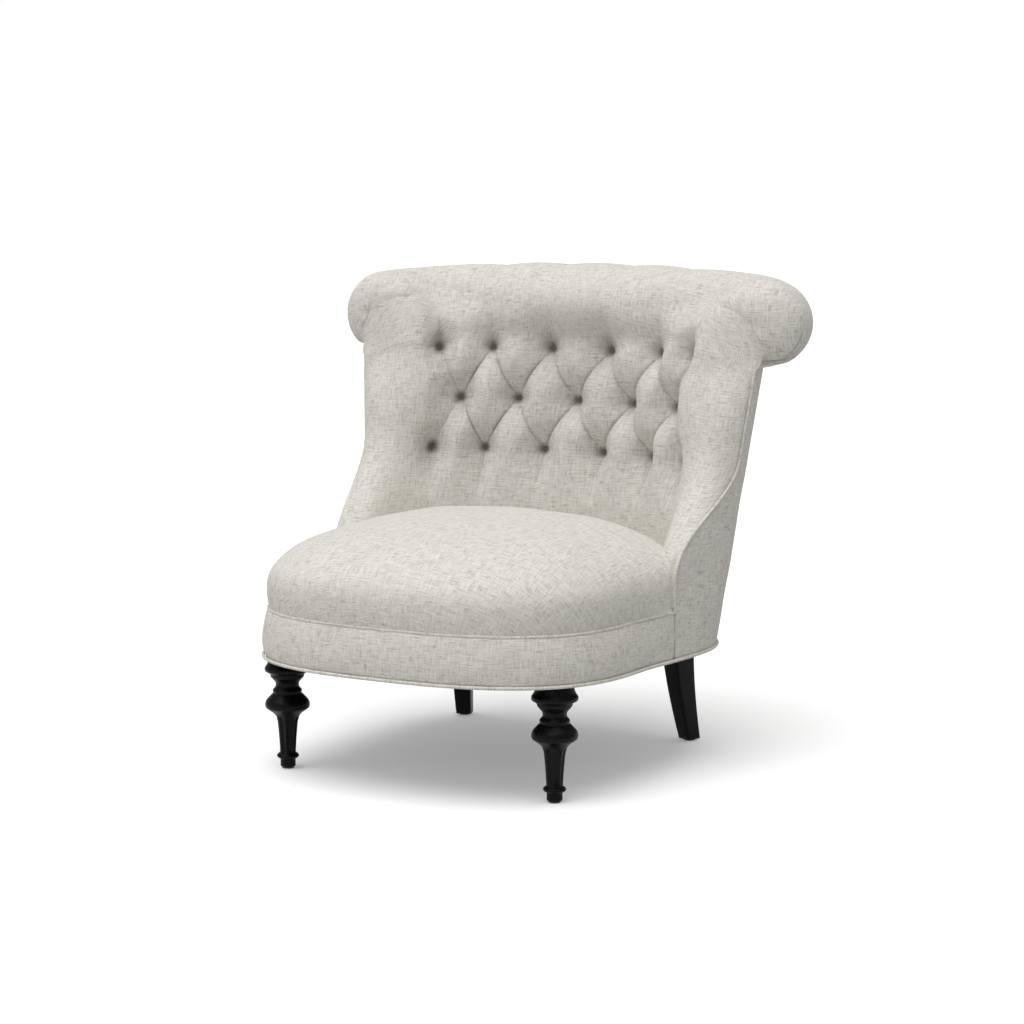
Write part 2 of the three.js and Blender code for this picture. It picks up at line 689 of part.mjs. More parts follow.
// The pad's rows and columns are spaced so that every button and crease falls on them
const spacingRowCount = 4;
const wingStepShares = [0.3, 0.6, 0.8, 1];
const lowRowCount = 4;
const padColumns = [];
for (let i = -2 * padSpacingCount * spacingRowCount; i <= 2 * padSpacingCount * spacingRowCount; i++)
  padColumns.push(i / (2 * spacingRowCount));
for (const share of wingStepShares) {
  padColumns.push(mix(padSpacingCount, wingEnd, share));
  padColumns.unshift(-mix(padSpacingCount, wingEnd, share));
}
const padRows = [];
for (let i = 0; i < lowRowCount; i++)
  padRows.push(mix(padBottomZ, middleRowZ - rowSpacing, i / lowRowCount));
for (let i = -spacingRowCount; i <= spacingRowCount; i++)
  padRows.push(middleRowZ + (i / spacingRowCount) * rowSpacing);
padRows.push((middleRowZ + rowSpacing + padTopZ) / 2, padTopZ);
// Its front has every column and its back every fourth one, and the diagonals follow the creases
const backStrideCount = 4;
function insidePad() {
  const [columns, rows] = [padColumns.length - 1, padRows.length - 1];
  const positions = [];
  const triangles = [];
  for (let j = 0; j <= rows; j++)
    for (let i = 0; i <= columns; i++) positions.push(...padFront(padColumns[i], padRows[j]));
  for (let j = 0; j <= rows; j++)
    for (let i = 0; i <= columns; i += backStrideCount) positions.push(...padBack(padColumns[i], padRows[j]));
  const near = (i, j) => j * (columns + 1) + i;
  const farStart = (rows + 1) * (columns + 1);
  const far = (i, j) => farStart + j * (columns / backStrideCount + 1) + i / backStrideCount;
  const quad = (a, b, c, d) => triangles.push(a, b, c, a, c, d);
  const crease = (column, row) => Math.abs(Math.sin(Math.PI * (column + row / 2)));
  for (let j = 0; j < rows; j++)
    for (let i = 0; i < columns; i++) {
      const column = (padColumns[i] + padColumns[i + 1]) / 2;
      const row = rowAt((padRows[j] + padRows[j + 1]) / 2);
      const square = [near(i, j), near(i + 1, j), near(i + 1, j + 1), near(i, j + 1)];
      if (crease(column, row) < crease(column, -row)) square.push(square.shift());
      quad(...square);
    }
  for (let i = 0; i < columns; i += backStrideCount) {
    const next = i + backStrideCount;
    for (let j = 0; j < rows; j++) quad(far(i, j), far(i, j + 1), far(next, j + 1), far(next, j));
    triangles.push(near(i, 0), far(i, 0), far(next, 0));
    triangles.push(near(i, rows), far(next, rows), far(i, rows));
    for (let k = i; k < next; k++) {
      triangles.push(near(k, 0), far(next, 0), near(k + 1, 0));
      triangles.push(near(k, rows), near(k + 1, rows), far(next, rows));
    }
  }
  for (let j = 0; j < rows; j++) {
    quad(near(0, j), near(0, j + 1), far(0, j + 1), far(0, j));
    quad(near(columns, j + 1), near(columns, j), far(columns, j), far(columns, j + 1));
  }
  return solidFrom(positions, triangles);
}

// Roll: rings round its centre line, from one rounded end to the other
const rollBackLength = rollBackRadius * rollBackTurn;
const rollLength = rollBackLength + rollBendRadius * (rollEndTurn - rollBackTurn);
function rollPoint(along, turnAround, grow = 0) {
  const travel = Math.abs(along) * (rollLength + rollEndLength);
  const share = Math.min(1, travel / rollLength);
  const cap = Math.max(0, travel - rollLength) / rollEndLength;
  const back = Math.min(rollBackLength, travel) / rollBackRadius;
  const turn = back + Math.max(0, Math.min(rollLength, travel) - rollBackLength) / rollBendRadius;
  const centre = new THREE.Vector3(
    rollBackRadius * Math.sin(back) + rollBendRadius * (Math.sin(turn) - Math.sin(back)),
    rollCentreY - rollBackRadius * (1 - Math.cos(back)) - rollBendRadius * (Math.cos(back) - Math.cos(turn)),
    rollCentreZ - rollDroop * share ** 2,
  );
  const ahead = new THREE.Vector3(Math.cos(turn), -Math.sin(turn), 0);
  const outward = new THREE.Vector3(-ahead.y, ahead.x, 0);
  const size = Math.pow(Math.max(0, 1 - cap ** rollEndPower), 1 / rollEndPower);
  const outer = mix(rollBreadth, rollOuterBreadth, share ** 2);
  const inner = mix(rollBreadth, rollInnerBreadth, smooth(0, rollBackLength / rollLength, share));
  const breadth = (Math.cos(turnAround) > 0 ? outer : inner) + grow;
  const rise = mix(rollRise, rollEndRise, share ** 2) + grow;
  centre.addScaledVector(ahead, cap * (rollEndLength + grow));
  centre.addScaledVector(outward, size * breadth * Math.cos(turnAround));
  centre.z += size * rise * Math.sin(turnAround);
  return centre.setX(centre.x * (Math.sign(along) || 1));
}
const rollSideCount = 16;
const rollRingCount = 23;
function roll(grow = 0) {
  const point = (i, j) => {
    const share = (2 * (j + 1)) / (rollRingCount + 1) - 1;
    return rollPoint(Math.sin((share * Math.PI) / 2), (i / rollSideCount) * 2 * Math.PI, grow);
  };
  return ringed(rollSideCount, rollRingCount, point, rollPoint(-1, 0, grow), rollPoint(1, 0, grow));
}
add("back_roll", roll(), fabric);
const rollRoom = roll(2 * gap);
add("inside_back", cut(insidePad(), rollRoom), fabric);

// Covered buttons, each with its twine, at the bottom of the tufts
const buttonRadius = 7;
const buttonEdge = 1.6;
const buttonDome = 4.6;
const buttonLift = 9;
const twineRadius = 1.2;
function button() {
  return lathe([
    [0, gap],
    [twineRadius, gap + 3 * twineRadius],
    [twineRadius, buttonLift],
    [buttonRadius - buttonEdge, buttonLift],
    [buttonRadius, buttonLift + buttonEdge],
    [buttonRadius - buttonEdge, buttonLift + buttonDome - buttonEdge / 2],
    [0, buttonLift + buttonDome],
  ], 8);
}
const buttonRows = [
  ["top", 1, 6],
  ["middle", 0, 5],
  ["bottom", -1, 6],
];
for (const [row, place, count] of buttonRows)
  for (let i = 0; i < count; i++) {
    const [column, z] = [i - (count - 1) / 2, middleRowZ + place * rowSpacing];
    const foot = insideBack(column, z, 0);
    const axis = insideBack(column, z, 1).sub(foot);
    const mesh = add("button_" + row + "_" + (i + 1), button(), fabric);
    mesh.position.copy(foot);
    mesh.quaternion.setFromUnitVectors(new THREE.Vector3(0, 0, 1), axis);
  }

// Foam behind the inside back
const foamTuck = 19; // how far it goes down below the seat's crown
const foamInRoll = 10;
const foamSetback = 70; // behind the wing's edge
function backFoam() {
  const [columns, rows] = [12, 4];
  const height = (j) => mix(seatTopZ - foamTuck, padTopZ - foamInRoll, j / rows);
  const column = (i) => mix(-padSpacingCount, padSpacingCount, i / columns);
  const near = (i, j) => insideBack(column(i), height(j), -coverBacking - 2 * gap);
  const far = (i, j) => {
    const end = edgeDistance(height(j)) - foamSetback;
    return outside(mix(-end, end, i / columns), height(j), innerInset + gap);
  };
  return slab(columns, rows, near, far);
}
add("back_foam", cut(backFoam(), rollRoom), foam);

// Seat cushion: foam under a crowned cover, both cut to the inside back
const seatInset = 9;
const seatFrontInset = 7;
const seatCentreShare = 0.59; // of the way from the chair's front to the seat's rear
const seatRearRoom = 64.5; // between the buttons and the seat's rear
const seatRearPower = 3;
const seatWallRise = 40; // upright part of the cushion's side, above the rails
const seatCrownPower = 2.2;
const seatSideCount = 48;
const seatRingCount = 6;
const seatRearY = insideMiddleY - seatRearRoom;
const seatCentre = new THREE.Vector3(0, mix(frontY, seatRearY, seatCentreShare), 0);
function seatOutline(i, inset) {
  const turn = (i / seatSideCount) * 2 * Math.PI;
  const rear = Math.sin(turn) > 0;
  const power = rear ? seatRearPower : frontRoundness;
  const reach = (rear ? seatRearY - frontCurveY : frontCurveDepth - seatFrontInset) - inset;
  const halfWidth = frontHalfWidth - seatInset - inset;
  const y = frontCurveY + reach * corner(Math.sin(turn), power);
  return new THREE.Vector3(halfWidth * corner(Math.cos(turn), power), y, 0);
}
function seatSolid(inset) {
  const wallTop = railTopZ + seatWallRise;
  const point = (i, j) => {
    if (j === 0) return seatOutline(i, inset).setZ(coverBottomZ);
    const share = Math.cos(((j - 1) / (seatRingCount + 1)) * (Math.PI / 2));
    const crown = Math.pow(1 - share ** seatCrownPower, 1 / seatCrownPower);
    return seatCentre.clone().lerp(seatOutline(i, inset), share).setZ(mix(wallTop, seatTopZ - inset, crown));
  };
  const bottom = seatCentre.clone().setZ(coverBottomZ);
  return ringed(seatSideCount, seatRingCount + 2, point, bottom, seatCentre.clone().setZ(seatTopZ - inset));
}
const padRoomDepth = 160;
function padRoom(lift) {
  const front = (i, j) => padFront(padColumns[i], padRows[j], lift);
  const back = (i, j) => padBack(padColumns[i], padRows[j]).add(new THREE.Vector3(0, padRoomDepth, 0));
  return slab(padColumns.length - 1, lowRowCount + 1, front, back);
}
const seatFoamInset = coverThickness + 2 * gap;
add("seat_cover", cut(seatSolid(0), seatSolid(coverThickness), padRoom(2 * gap)), fabric);
add("seat_foam", cut(seatSolid(seatFoamInset), padRoom(2 * gap + seatFoamInset)), foam);

// Padded band round the front, and the plain outside of the back, both sewn to the base welt
const bandFootInset = 2;
const bandTopInset = 11;
const bandBulge = 8.5;
const baseWeltZ = legHeight + baseWeltRadius - gap;
const bandBottomZ = baseWeltZ + baseWeltRadius + gap;
function seatBand() {
  const [columns, rows] = [36, 3];
  const point = (i, j, inset) => {
    const z = mix(bandBottomZ, seatWeltZ - seatWeltRadius - gap, j / rows);
    return outside(mix(edgeDistance(z) + gap, around(edgeDistance(z) + gap), i / columns), z, inset);
  };
  const swelled = (share) => mix(bandFootInset, bandTopInset, share) - bandBulge * 4 * share * (1 - share);
  const inner = (i, j) => point(i, j, boardInset - facetRoom);
  return slab(columns, rows, inner, (i, j) => point(i, j, swelled(j / rows)));
}
add("seat_band", seatBand(), fabric);

const outsideInRoll = 60; // how far below the roll's centre the cover ends inside it
const outsideTopShare = 0.55; // of its width, beyond which its top slopes down to the necks
const weltBottomZ = seatWeltZ + seatWeltRadius + wingWeltRadius;
const wingRow = (z, j) => z < neckZ && (j < lowRowCount || (j - lowRowCount) % 2 === 0);
const weltRows = [weltBottomZ, (weltBottomZ + padBottomZ) / 2, ...padRows.filter(wingRow), neckZ];
function outsideCover() {
  const heights = [bandBottomZ, ...weltRows];
  const [columns, rows] = [26, heights.length - 1];
  const point = (i, j, inset) => {
    const share = (2 * i) / columns - 1;
    const top = mix(rollCentreZ - outsideInRoll, neckZ, smooth(outsideTopShare, 1, Math.abs(share)));
    const z = j === rows ? top : heights[j];
    return outside(share * (edgeDistance(z) - gap), z, inset);
  };
  const inner = (i, j) => point(i, j, coverInset + coverThickness);
  return slab(columns, rows, inner, (i, j) => point(i, j, coverInset));
}
add("outside_back", cut(outsideCover(), rollRoom), fabric);

// Welts
const weltSideCount = 6;
const baseWeltStepCount = 64;
const seatWeltStepCount = 40;
const baseWeltPoints = [];
for (let i = 0; i < baseWeltStepCount; i++)
  baseWeltPoints.push(outside((i / baseWeltStepCount) * 2 * outline.half, baseWeltZ, 0));
add("base_welt", tube(baseWeltPoints, baseWeltRadius, weltSideCount, true), fabric);
const seatWeltPoints = [];
for (let i = 0; i <= seatWeltStepCount; i++) {
  const distance = mix(edgeDistance(seatWeltZ), around(edgeDistance(seatWeltZ)), i / seatWeltStepCount);
  seatWeltPoints.push(outside(distance, seatWeltZ, seatWeltInset));
}
add("seat_welt", tube(seatWeltPoints, seatWeltRadius, weltSideCount), fabric);
function wingWelt(sign) {
  const ahead = wingWeltRadius + gap;
  const points = weltRows.map((z) => outside(sign * (edgeDistance(z) + ahead), z, wingWeltRadius));
  const ring = (i, j) => {
    const [before, after] = [points[Math.max(0, j - 1)], points[Math.min(points.length - 1, j + 1)]];
    const along = after.clone().sub(before).normalize();
    const across = new THREE.Vector3(0, 1, 0).cross(along).normalize();
    const turn = (i / weltSideCount) * 2 * Math.PI;
    return points[j].clone()
      .addScaledVector(across, wingWeltRadius * Math.cos(turn))
      .addScaledVector(along.cross(across), wingWeltRadius * Math.sin(turn));
  };
  return ringed(weltSideCount, points.length, ring, points[0], points[points.length - 1]);
}
for (const [side, sign] of sides) add("wing_welt_" + side, wingWelt(sign), fabric);

export default chair;
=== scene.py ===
import bpy
import json
import math
import numpy as np
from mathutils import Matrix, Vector


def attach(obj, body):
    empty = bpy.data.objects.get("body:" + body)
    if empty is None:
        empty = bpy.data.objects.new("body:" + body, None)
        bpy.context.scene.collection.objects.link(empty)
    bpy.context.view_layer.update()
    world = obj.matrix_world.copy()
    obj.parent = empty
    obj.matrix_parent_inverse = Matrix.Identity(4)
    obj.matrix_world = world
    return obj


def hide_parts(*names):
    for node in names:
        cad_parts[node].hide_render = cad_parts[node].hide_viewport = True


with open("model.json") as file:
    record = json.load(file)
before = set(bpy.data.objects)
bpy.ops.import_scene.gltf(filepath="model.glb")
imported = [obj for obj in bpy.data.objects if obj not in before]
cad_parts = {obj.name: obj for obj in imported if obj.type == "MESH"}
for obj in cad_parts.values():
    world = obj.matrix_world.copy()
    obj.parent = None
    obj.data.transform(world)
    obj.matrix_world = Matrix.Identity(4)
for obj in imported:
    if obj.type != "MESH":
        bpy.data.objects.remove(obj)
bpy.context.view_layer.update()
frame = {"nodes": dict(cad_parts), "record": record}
print("frame loaded")

# Sizes shared by several pieces, in metres, as in the CAD source
chair = {
    "frontY": -0.402, "outlineRearY": 0.2725,
    "baseHalfWidth": 0.319, "frontTaper": 0.013,
    "frontCurveDepth": 0.25, "rearCurveDepth": 0.234,
    "frontRoundness": 2.7, "rearRoundness": 2.4,
    "railBottomZ": 0.1798, "railTopZ": 0.2498, "seatTopZ": 0.3988, "middleRowZ": 0.5508,
    "rearLean": 0.16, "sideLean": 0.108, "slopeStart": 0.076, "slopeRun": 0.12,
    "seamAhead": 0.074, "wingSweep": 0.108, "wingSweepStart": 0.122, "wingSweepEnd": 0.302,
    "baseWeltRadius": 0.0035, "baseWeltZ": 0.1812, "seatWeltZ": 0.2557, "neckZ": 0.6128,
}
frontHalfWidth = chair["baseHalfWidth"] - chair["frontTaper"]
frontCurveY = chair["frontY"] + chair["baseWeltRadius"] + chair["frontCurveDepth"]
rearCurveY = chair["outlineRearY"] - chair["rearCurveDepth"]


def mixed(low, high, share):
    return low + (high - low) * share


def smooth(low, high, value):
    share = np.clip((value - low) / (high - low), 0, 1)
    return share * share * (3 - 2 * share)


def rounded(value, power):
    return np.sign(value) * np.abs(value) ** (2 / power)


def unit(vectors):
    return vectors / np.maximum(np.linalg.norm(vectors, axis=-1, keepdims=True), 1e-12)


def stacked(*parts):
    return np.stack(np.broadcast_arrays(*parts), axis=-1)


# Both fall off from 1, the first by an offset and the second by a squared distance
def hump(offset, width):
    return np.exp(-(offset / width) ** 2)


def nearness(squared, reach):
    return np.exp(-squared / reach ** 2)


# A cubic from start to end, with a slope at each
def cubic(start, startSlope, end, endSlope, t):
    return (start * (2 * t ** 3 - 3 * t ** 2 + 1) + startSlope * (t ** 3 - 2 * t ** 2 + t)
            + end * (3 * t ** 2 - 2 * t ** 3) + endSlope * (t ** 3 - t ** 2))


def pathLengths(points):
    return np.concatenate([[0], np.cumsum(np.linalg.norm(np.diff(points, axis=0), axis=1))])


def addObject(name, data):
    made = bpy.data.objects.new(name, data)
    bpy.context.scene.collection.objects.link(made)
    return made


# The plan outline, by distance along it from the rear centre, positive on the sitter's left
def halfOutline(steps=400):
    turn = np.linspace(0, math.pi / 2, steps + 1)
    share = np.arange(1, steps) / steps
    rear = stacked(chair["baseHalfWidth"] * rounded(np.sin(turn), chair["rearRoundness"]),
                   rearCurveY + chair["rearCurveDepth"] * rounded(np.cos(turn), chair["rearRoundness"]))
    side = stacked(mixed(chair["baseHalfWidth"], frontHalfWidth, smooth(0, 1, share)),
                   mixed(rearCurveY, frontCurveY, share))
    ahead = chair["frontCurveDepth"] * rounded(np.sin(turn), chair["frontRoundness"])
    front = stacked(frontHalfWidth * rounded(np.cos(turn), chair["frontRoundness"]), frontCurveY - ahead)
    points = np.concatenate([rear, side, front])
    return points, pathLengths(points)


outlinePoints, outlineLengths = halfOutline()
outlineHalf = outlineLengths[-1]


def outlinePoint(distance):
    turned = np.mod(distance, 2 * outlineHalf)
    side = np.where(turned > outlineHalf, -1.0, 1.0)
    along = np.where(side < 0, 2 * outlineHalf - turned, turned)
    return stacked(side * np.interp(along, outlineLengths, outlinePoints[:, 0]),
                   np.interp(along, outlineLengths, outlinePoints[:, 1]))


def outside(distance, z, inset=0.0):
    distance, z, inset = np.broadcast_arrays(np.asarray(distance, float), z, inset)
    point = outlinePoint(distance)
    step = unit(outlinePoint(distance + 0.007) - outlinePoint(distance - 0.007))
    start = rearCurveY - chair["slopeStart"]
    lean = smooth(start, start + chair["slopeRun"], point[..., 1]) * (z - chair["railBottomZ"])
    wider = lean * chair["sideLean"] * point[..., 0] / chair["baseHalfWidth"]
    x = point[..., 0] + step[..., 1] * inset + wider
    return stacked(x, point[..., 1] - step[..., 0] * inset + lean * chair["rearLean"], z)


# Where the outline meets the wing's front edge at each height
def edgeDistance(z):
    start = chair["railBottomZ"]
    sweep = smooth(start + chair["wingSweepStart"], start + chair["wingSweepEnd"], z)
    y = rearCurveY - chair["seamAhead"] + chair["wingSweep"] * sweep
    low = len(outlineLengths) // 6
    return np.interp(-y, -outlinePoints[low:, 1], outlineLengths[low:])


# Meshes from grids of points, with a UV map in metres
def makeMesh(name, points, faces, uvs):
    mesh = bpy.data.meshes.new(name)
    mesh.from_pydata(points.reshape(-1, 3).tolist(), [], faces)
    mesh.polygons.foreach_set("use_smooth", [True] * len(mesh.polygons))
    layer = mesh.uv_layers.new(name="UVMap")
    corners = np.zeros(len(mesh.loops), dtype=np.int64)
    mesh.loops.foreach_get("vertex_index", corners)
    layer.data.foreach_set("uv", uvs.reshape(-1, 2)[corners].ravel())
    mesh.update()
    return addObject(name, mesh)


def gridFaces(rows, columns, closedRows=False, closedColumns=False, turned=None):
    faces = []
    for j in range(rows if closedRows else rows - 1):
        for i in range(columns if closedColumns else columns - 1):
            right, up = (i + 1) % columns, (j + 1) % rows
            quad = [j * columns + i, j * columns + right, up * columns + right, up * columns + i]
            if turned is None or turned[j, i] == 0:
                faces.append(quad)
            elif turned[j, i] > 0:
                faces += [[quad[1], quad[2], quad[3]], [quad[1], quad[3], quad[0]]]
            else:
                faces += [quad[:3], [quad[0], quad[2], quad[3]]]
    return faces


def faceOutward(piece):
    mesh = piece.data
    mesh.calc_loop_triangles()
    places = np.zeros(len(mesh.vertices) * 3)
    mesh.vertices.foreach_get("co", places)
    places = places.reshape(-1, 3)
    corners = np.zeros(len(mesh.loop_triangles) * 3, dtype=np.int64)
    mesh.loop_triangles.foreach_get("vertices", corners)
    a, b, c = (places[corners.reshape(-1, 3)[:, k]] for k in range(3))
    volume = float(np.einsum("ij,ij->", a, np.cross(b, c)))
    if volume < 0:
        mesh.flip_normals()
    return piece


# Faces of closed rings, with fans from the two points that follow the last ring
def ringFaces(rings, count):
    faces = gridFaces(rings, count, closedColumns=True)
    first, last, top = rings * count, rings * count + 1, (rings - 1) * count
    for i in range(count):
        nextOne = (i + 1) % count
        faces.append([first, nextOne, i])
        faces.append([last, top + i, top + nextOne])
    return faces


# A piece of closed rings with a flat face at each end
def cappedPiece(name, points, uvs):
    rings, count = points.shape[:2]
    faces = gridFaces(rings, count, closedColumns=True)
    faces.append(list(range(count))[::-1])
    faces.append([(rings - 1) * count + i for i in range(count)])
    return faceOutward(makeMesh(name, points, faces, uvs))


# Painted shade at each vertex, which the linen reads: darkening where shade falls in creases, pits and
# hollows
def setPaintedShade(piece, values):
    piece.data.attributes.new("paintedShade", "FLOAT", "POINT").data.foreach_set("value", values)


# Shader maths as Python expressions
class Value:
    def __init__(self, shader, socket):
        self.shader = shader
        self.socket = socket

    def maths(self, operation, *others):
        node = self.shader.tree.nodes.new("ShaderNodeMath")
        node.operation = operation
        for place, value in enumerate((self,) + others):
            self.shader.feed(node.inputs[place], value)
        return Value(self.shader, node.outputs[0])

    def __add__(self, other):
        return self.maths("ADD", other)

    __radd__ = __add__

    def __mul__(self, other):
        return self.maths("MULTIPLY", other)

    def between(self, low, high):
        made = self.shader.node("ShaderNodeMapRange", {"interpolation_type": "SMOOTHSTEP"},
                                {"Value": self, "From Min": low, "From Max": high})
        return made["Result"]


class Made:
    def __init__(self, shader, node):
        self.shader = shader
        self.node = node

    def __getitem__(self, name):
        return Value(self.shader, self.node.outputs[name])


class Shader:
    def __init__(self, name):
        self.material = bpy.data.materials.new(name)
        self.material.use_nodes = True
        self.tree = self.material.node_tree
        self.tree.nodes.clear()
        self.output = self.tree.nodes.new("ShaderNodeOutputMaterial")

    def feed(self, socket, value):
        if isinstance(value, Value):
            self.tree.links.new(value.socket, socket)
        elif isinstance(value, (tuple, list)) and socket.type == "RGBA" and len(value) == 3:
            socket.default_value = (*value, 1)
        else:
            socket.default_value = value

    def node(self, kind, settings=None, sockets=None):
        node = self.tree.nodes.new(kind)
        for name, value in (settings or {}).items():
            setattr(node, name, value)
        for name, value in (sockets or {}).items():
            self.feed(node.inputs[name], value)
        return Made(self, node)

    def mixColor(self, share, low, high, blend="MIX"):
        node = self.tree.nodes.new("ShaderNodeMix")
        node.data_type = "RGBA"
        node.blend_type = blend
        for place, value in ((0, share), (6, low), (7, high)):
            self.feed(node.inputs[place], value)
        return Value(self, node.outputs[2])

    def place(self):
        return self.node("ShaderNodeTexCoord")["Object"]

    def grey(self, value):
        return self.node("ShaderNodeCombineColor", None,
                         {"Red": value, "Green": value, "Blue": value})["Color"]

    def scaled(self, vector, scale):
        return self.node("ShaderNodeVectorMath", {"operation": "MULTIPLY"},
                         {0: vector, 1: scale})["Vector"]

    def noise(self, vector, scale, detail=2.0, roughness=0.5, distortion=0.0):
        stretched = self.scaled(vector, scale)
        return self.node("ShaderNodeTexNoise", None, {
            "Vector": stretched, "Scale": 1.0, "Detail": detail,
            "Roughness": roughness, "Distortion": distortion})["Fac"]

    # The same noise drawn out along and across the cloth
    def crossed(self, vector, run, threads, detail, roughness=0.5):
        return (self.noise(vector, (run, threads, 1), detail, roughness),
                self.noise(vector, (threads, run, 1), detail, roughness))

    # Over and under in both directions
    def plainWeave(self, vector, pitch):
        parts = self.node("ShaderNodeSeparateXYZ", None, {"Vector": self.scaled(vector, pitch)})
        return parts["X"].maths("SINE") * parts["Y"].maths("SINE")

    def finish(self, sockets, bump=None, strength=1.0, distance=0.001):
        if bump is not None:
            sockets["Normal"] = self.node("ShaderNodeBump", None, {
                "Strength": strength, "Distance": distance, "Height": bump})["Normal"]
        skin = self.node("ShaderNodeBsdfPrincipled", None, sockets)
        self.tree.links.new(skin["BSDF"].socket, self.output.inputs["Surface"])
        return self.material


# Linen: fine weave, heathered threads along and across, pale and tan slubs, and painted shade where the
# vertex attribute marks creases, pits and hollows
linen = {
    "ground": (0.72, 0.698, 0.644), "shade": (0.56, 0.536, 0.478),
    "pale": (0.83, 0.82, 0.79), "tan": (0.42, 0.335, 0.235),
    "threadsPerMetre": 640, "threadRun": 42, "coarseThreads": 300, "coarseRun": 20,
    "cloud": 26, "slubThreads": 620, "slubRun": 48, "patch": 95, "weavePitch": 6200,
    "broadShare": 0.4, "cloudShare": 0.22, "tanShare": 0.68, "paleShare": 0.5,
    # paintedShade is the colour of the painted shade in creases, pits and hollows
    "roughness": 0.9, "sheen": 0.12, "paintedShade": (0.06, 0.052, 0.045),
    "threadRelief": 1.3, "weaveRelief": 0.14, "slubRelief": 0.25, "relief": 0.55, "reliefHeight": 0.0011,
}


def linenMaterial(name):
    shader = Shader(name)
    place = shader.node("ShaderNodeUVMap", {"uv_map": "UVMap"})["UV"]
    weft, warp = shader.crossed(place, linen["threadRun"], linen["threadsPerMetre"], 2.5, 0.6)
    broadWeft, broadWarp = shader.crossed(place, linen["coarseRun"], linen["coarseThreads"], 2.0)
    cloud = shader.noise(place, (linen["cloud"], linen["cloud"], 1), 3.0, 0.55)
    slubWeft, slubWarp = shader.crossed(place, linen["slubRun"], linen["slubThreads"], 1.0)
    patch = shader.noise(place, (linen["patch"], linen["patch"], 1), 2.0)
    threads = (weft + warp) * 0.5
    broad = (broadWeft + broadWarp) * 0.5
    ground = shader.mixColor(threads.between(0.36, 0.62), linen["shade"], linen["ground"])
    ground = shader.mixColor(broad.between(0.44, 0.66) * linen["broadShare"], ground, linen["pale"])
    ground = shader.mixColor(cloud.between(0.5, 0.72) * linen["cloudShare"], ground, linen["shade"])
    tanMask = slubWeft.between(0.57, 0.66).maths("MAXIMUM", slubWarp.between(0.60, 0.69))
    tanMask = tanMask * patch.between(0.4, 0.58)
    ground = shader.mixColor(tanMask * linen["tanShare"], ground, linen["tan"])
    paleMask = slubWeft.between(0.42, 0.32).maths("MAXIMUM", slubWarp.between(0.42, 0.32))
    ground = shader.mixColor(paleMask * linen["paleShare"], ground, linen["pale"])
    # Painted shade, mixed in from the vertex attribute
    paintedShade = shader.node("ShaderNodeAttribute", {"attribute_name": "paintedShade"})["Fac"]
    ground = shader.mixColor(paintedShade, ground, linen["paintedShade"])
    plain = shader.plainWeave(place, (linen["weavePitch"], linen["weavePitch"], 1))
    height = threads * linen["threadRelief"] + plain * linen["weaveRelief"] + tanMask * linen["slubRelief"]
    return shader.finish({
        "Base Color": ground, "Roughness": linen["roughness"],
        "Sheen Weight": linen["sheen"], "Sheen Roughness": 0.5, "Specular IOR Level": 0.25,
    }, height, linen["relief"], linen["reliefHeight"])


linenCloth = linenMaterial("linenCloth")
print("linen made")

# Roll on top of the back
roll = {
    "backTurn": math.radians(13.4), "bendRadius": 0.09, "endTurn": math.radians(80), "endOut": 0.027,
    "breadth": 0.103, "outer": 0.0765, "inner": 0.068, "rise": 0.07, "endRise": 0.072,
    "droop": 0.018, "endLength": 0.06, "endPower": 2.5, "centreY": 0.299, "centreZ": 0.7048,
    "spacing": 0.1165, "bendShift": 0.039, "girth": 0.086,
    "pleatDepth": 0.0078, "pleatPower": 0.95, "lastPleat": 0.3,
    "gathers": (0.404, 0.386, 0.366), "neck": 0.42,
    # gatherDark and darkWidth: painted shade along the gathers on the roll's ends
    "gatherDepth": 0.006, "gatherWidth": 0.0042, "gatherDark": 0.4, "darkWidth": 0.0026,
    "sheetRoom": 0.016, "wingRoom": 0.005, "dimple": 0.004, "dimpleReach": 0.16, "flatFrom": 0.012,
}
bendOut = roll["bendRadius"] * (math.sin(roll["endTurn"]) - math.sin(roll["backTurn"]))
rollRadius = (chair["baseHalfWidth"] + roll["endOut"] - bendOut) / math.sin(roll["backTurn"])
rollBackLength = rollRadius * roll["backTurn"]
rollLength = rollBackLength + roll["bendRadius"] * (roll["endTurn"] - roll["backTurn"])
rollReach = rollLength + roll["endLength"]
rollEndY = (roll["centreY"] - rollRadius * (1 - math.cos(roll["backTurn"]))
            - roll["bendRadius"] * (math.cos(roll["backTurn"]) - math.cos(roll["endTurn"])))


def rollAlong(column):
    size = np.abs(column)
    inner = roll["spacing"] * np.minimum(size, 2.5) + roll["bendShift"] * smooth(1.5, 2.5, size)
    outer = np.interp(size, [2.5, 3.0, 3.6, 4.0], [0, 0.04, 0.078, 0.11])
    return np.sign(column) * (inner + outer)


columnTable = np.linspace(0, 4, 401)
alongTable = rollAlong(columnTable)


def rollColumn(along):
    return np.sign(along) * np.interp(np.abs(along), alongTable, columnTable)


# Share of a full pleat above each top button, 0 between them
def pleatValley(column, power):
    size = np.abs(column)
    wave = np.abs(np.cos(np.pi * np.minimum(size, 3.0))) ** power
    return (1 - wave) * smooth(3.0, 2.94, size) * mixed(1, roll["lastPleat"], smooth(1.9, 2.4, size))


def rollFade(height):
    return (1 - smooth(-0.2, 3.0, height)) ** 0.9 * smooth(-2.4, -1.2, height)


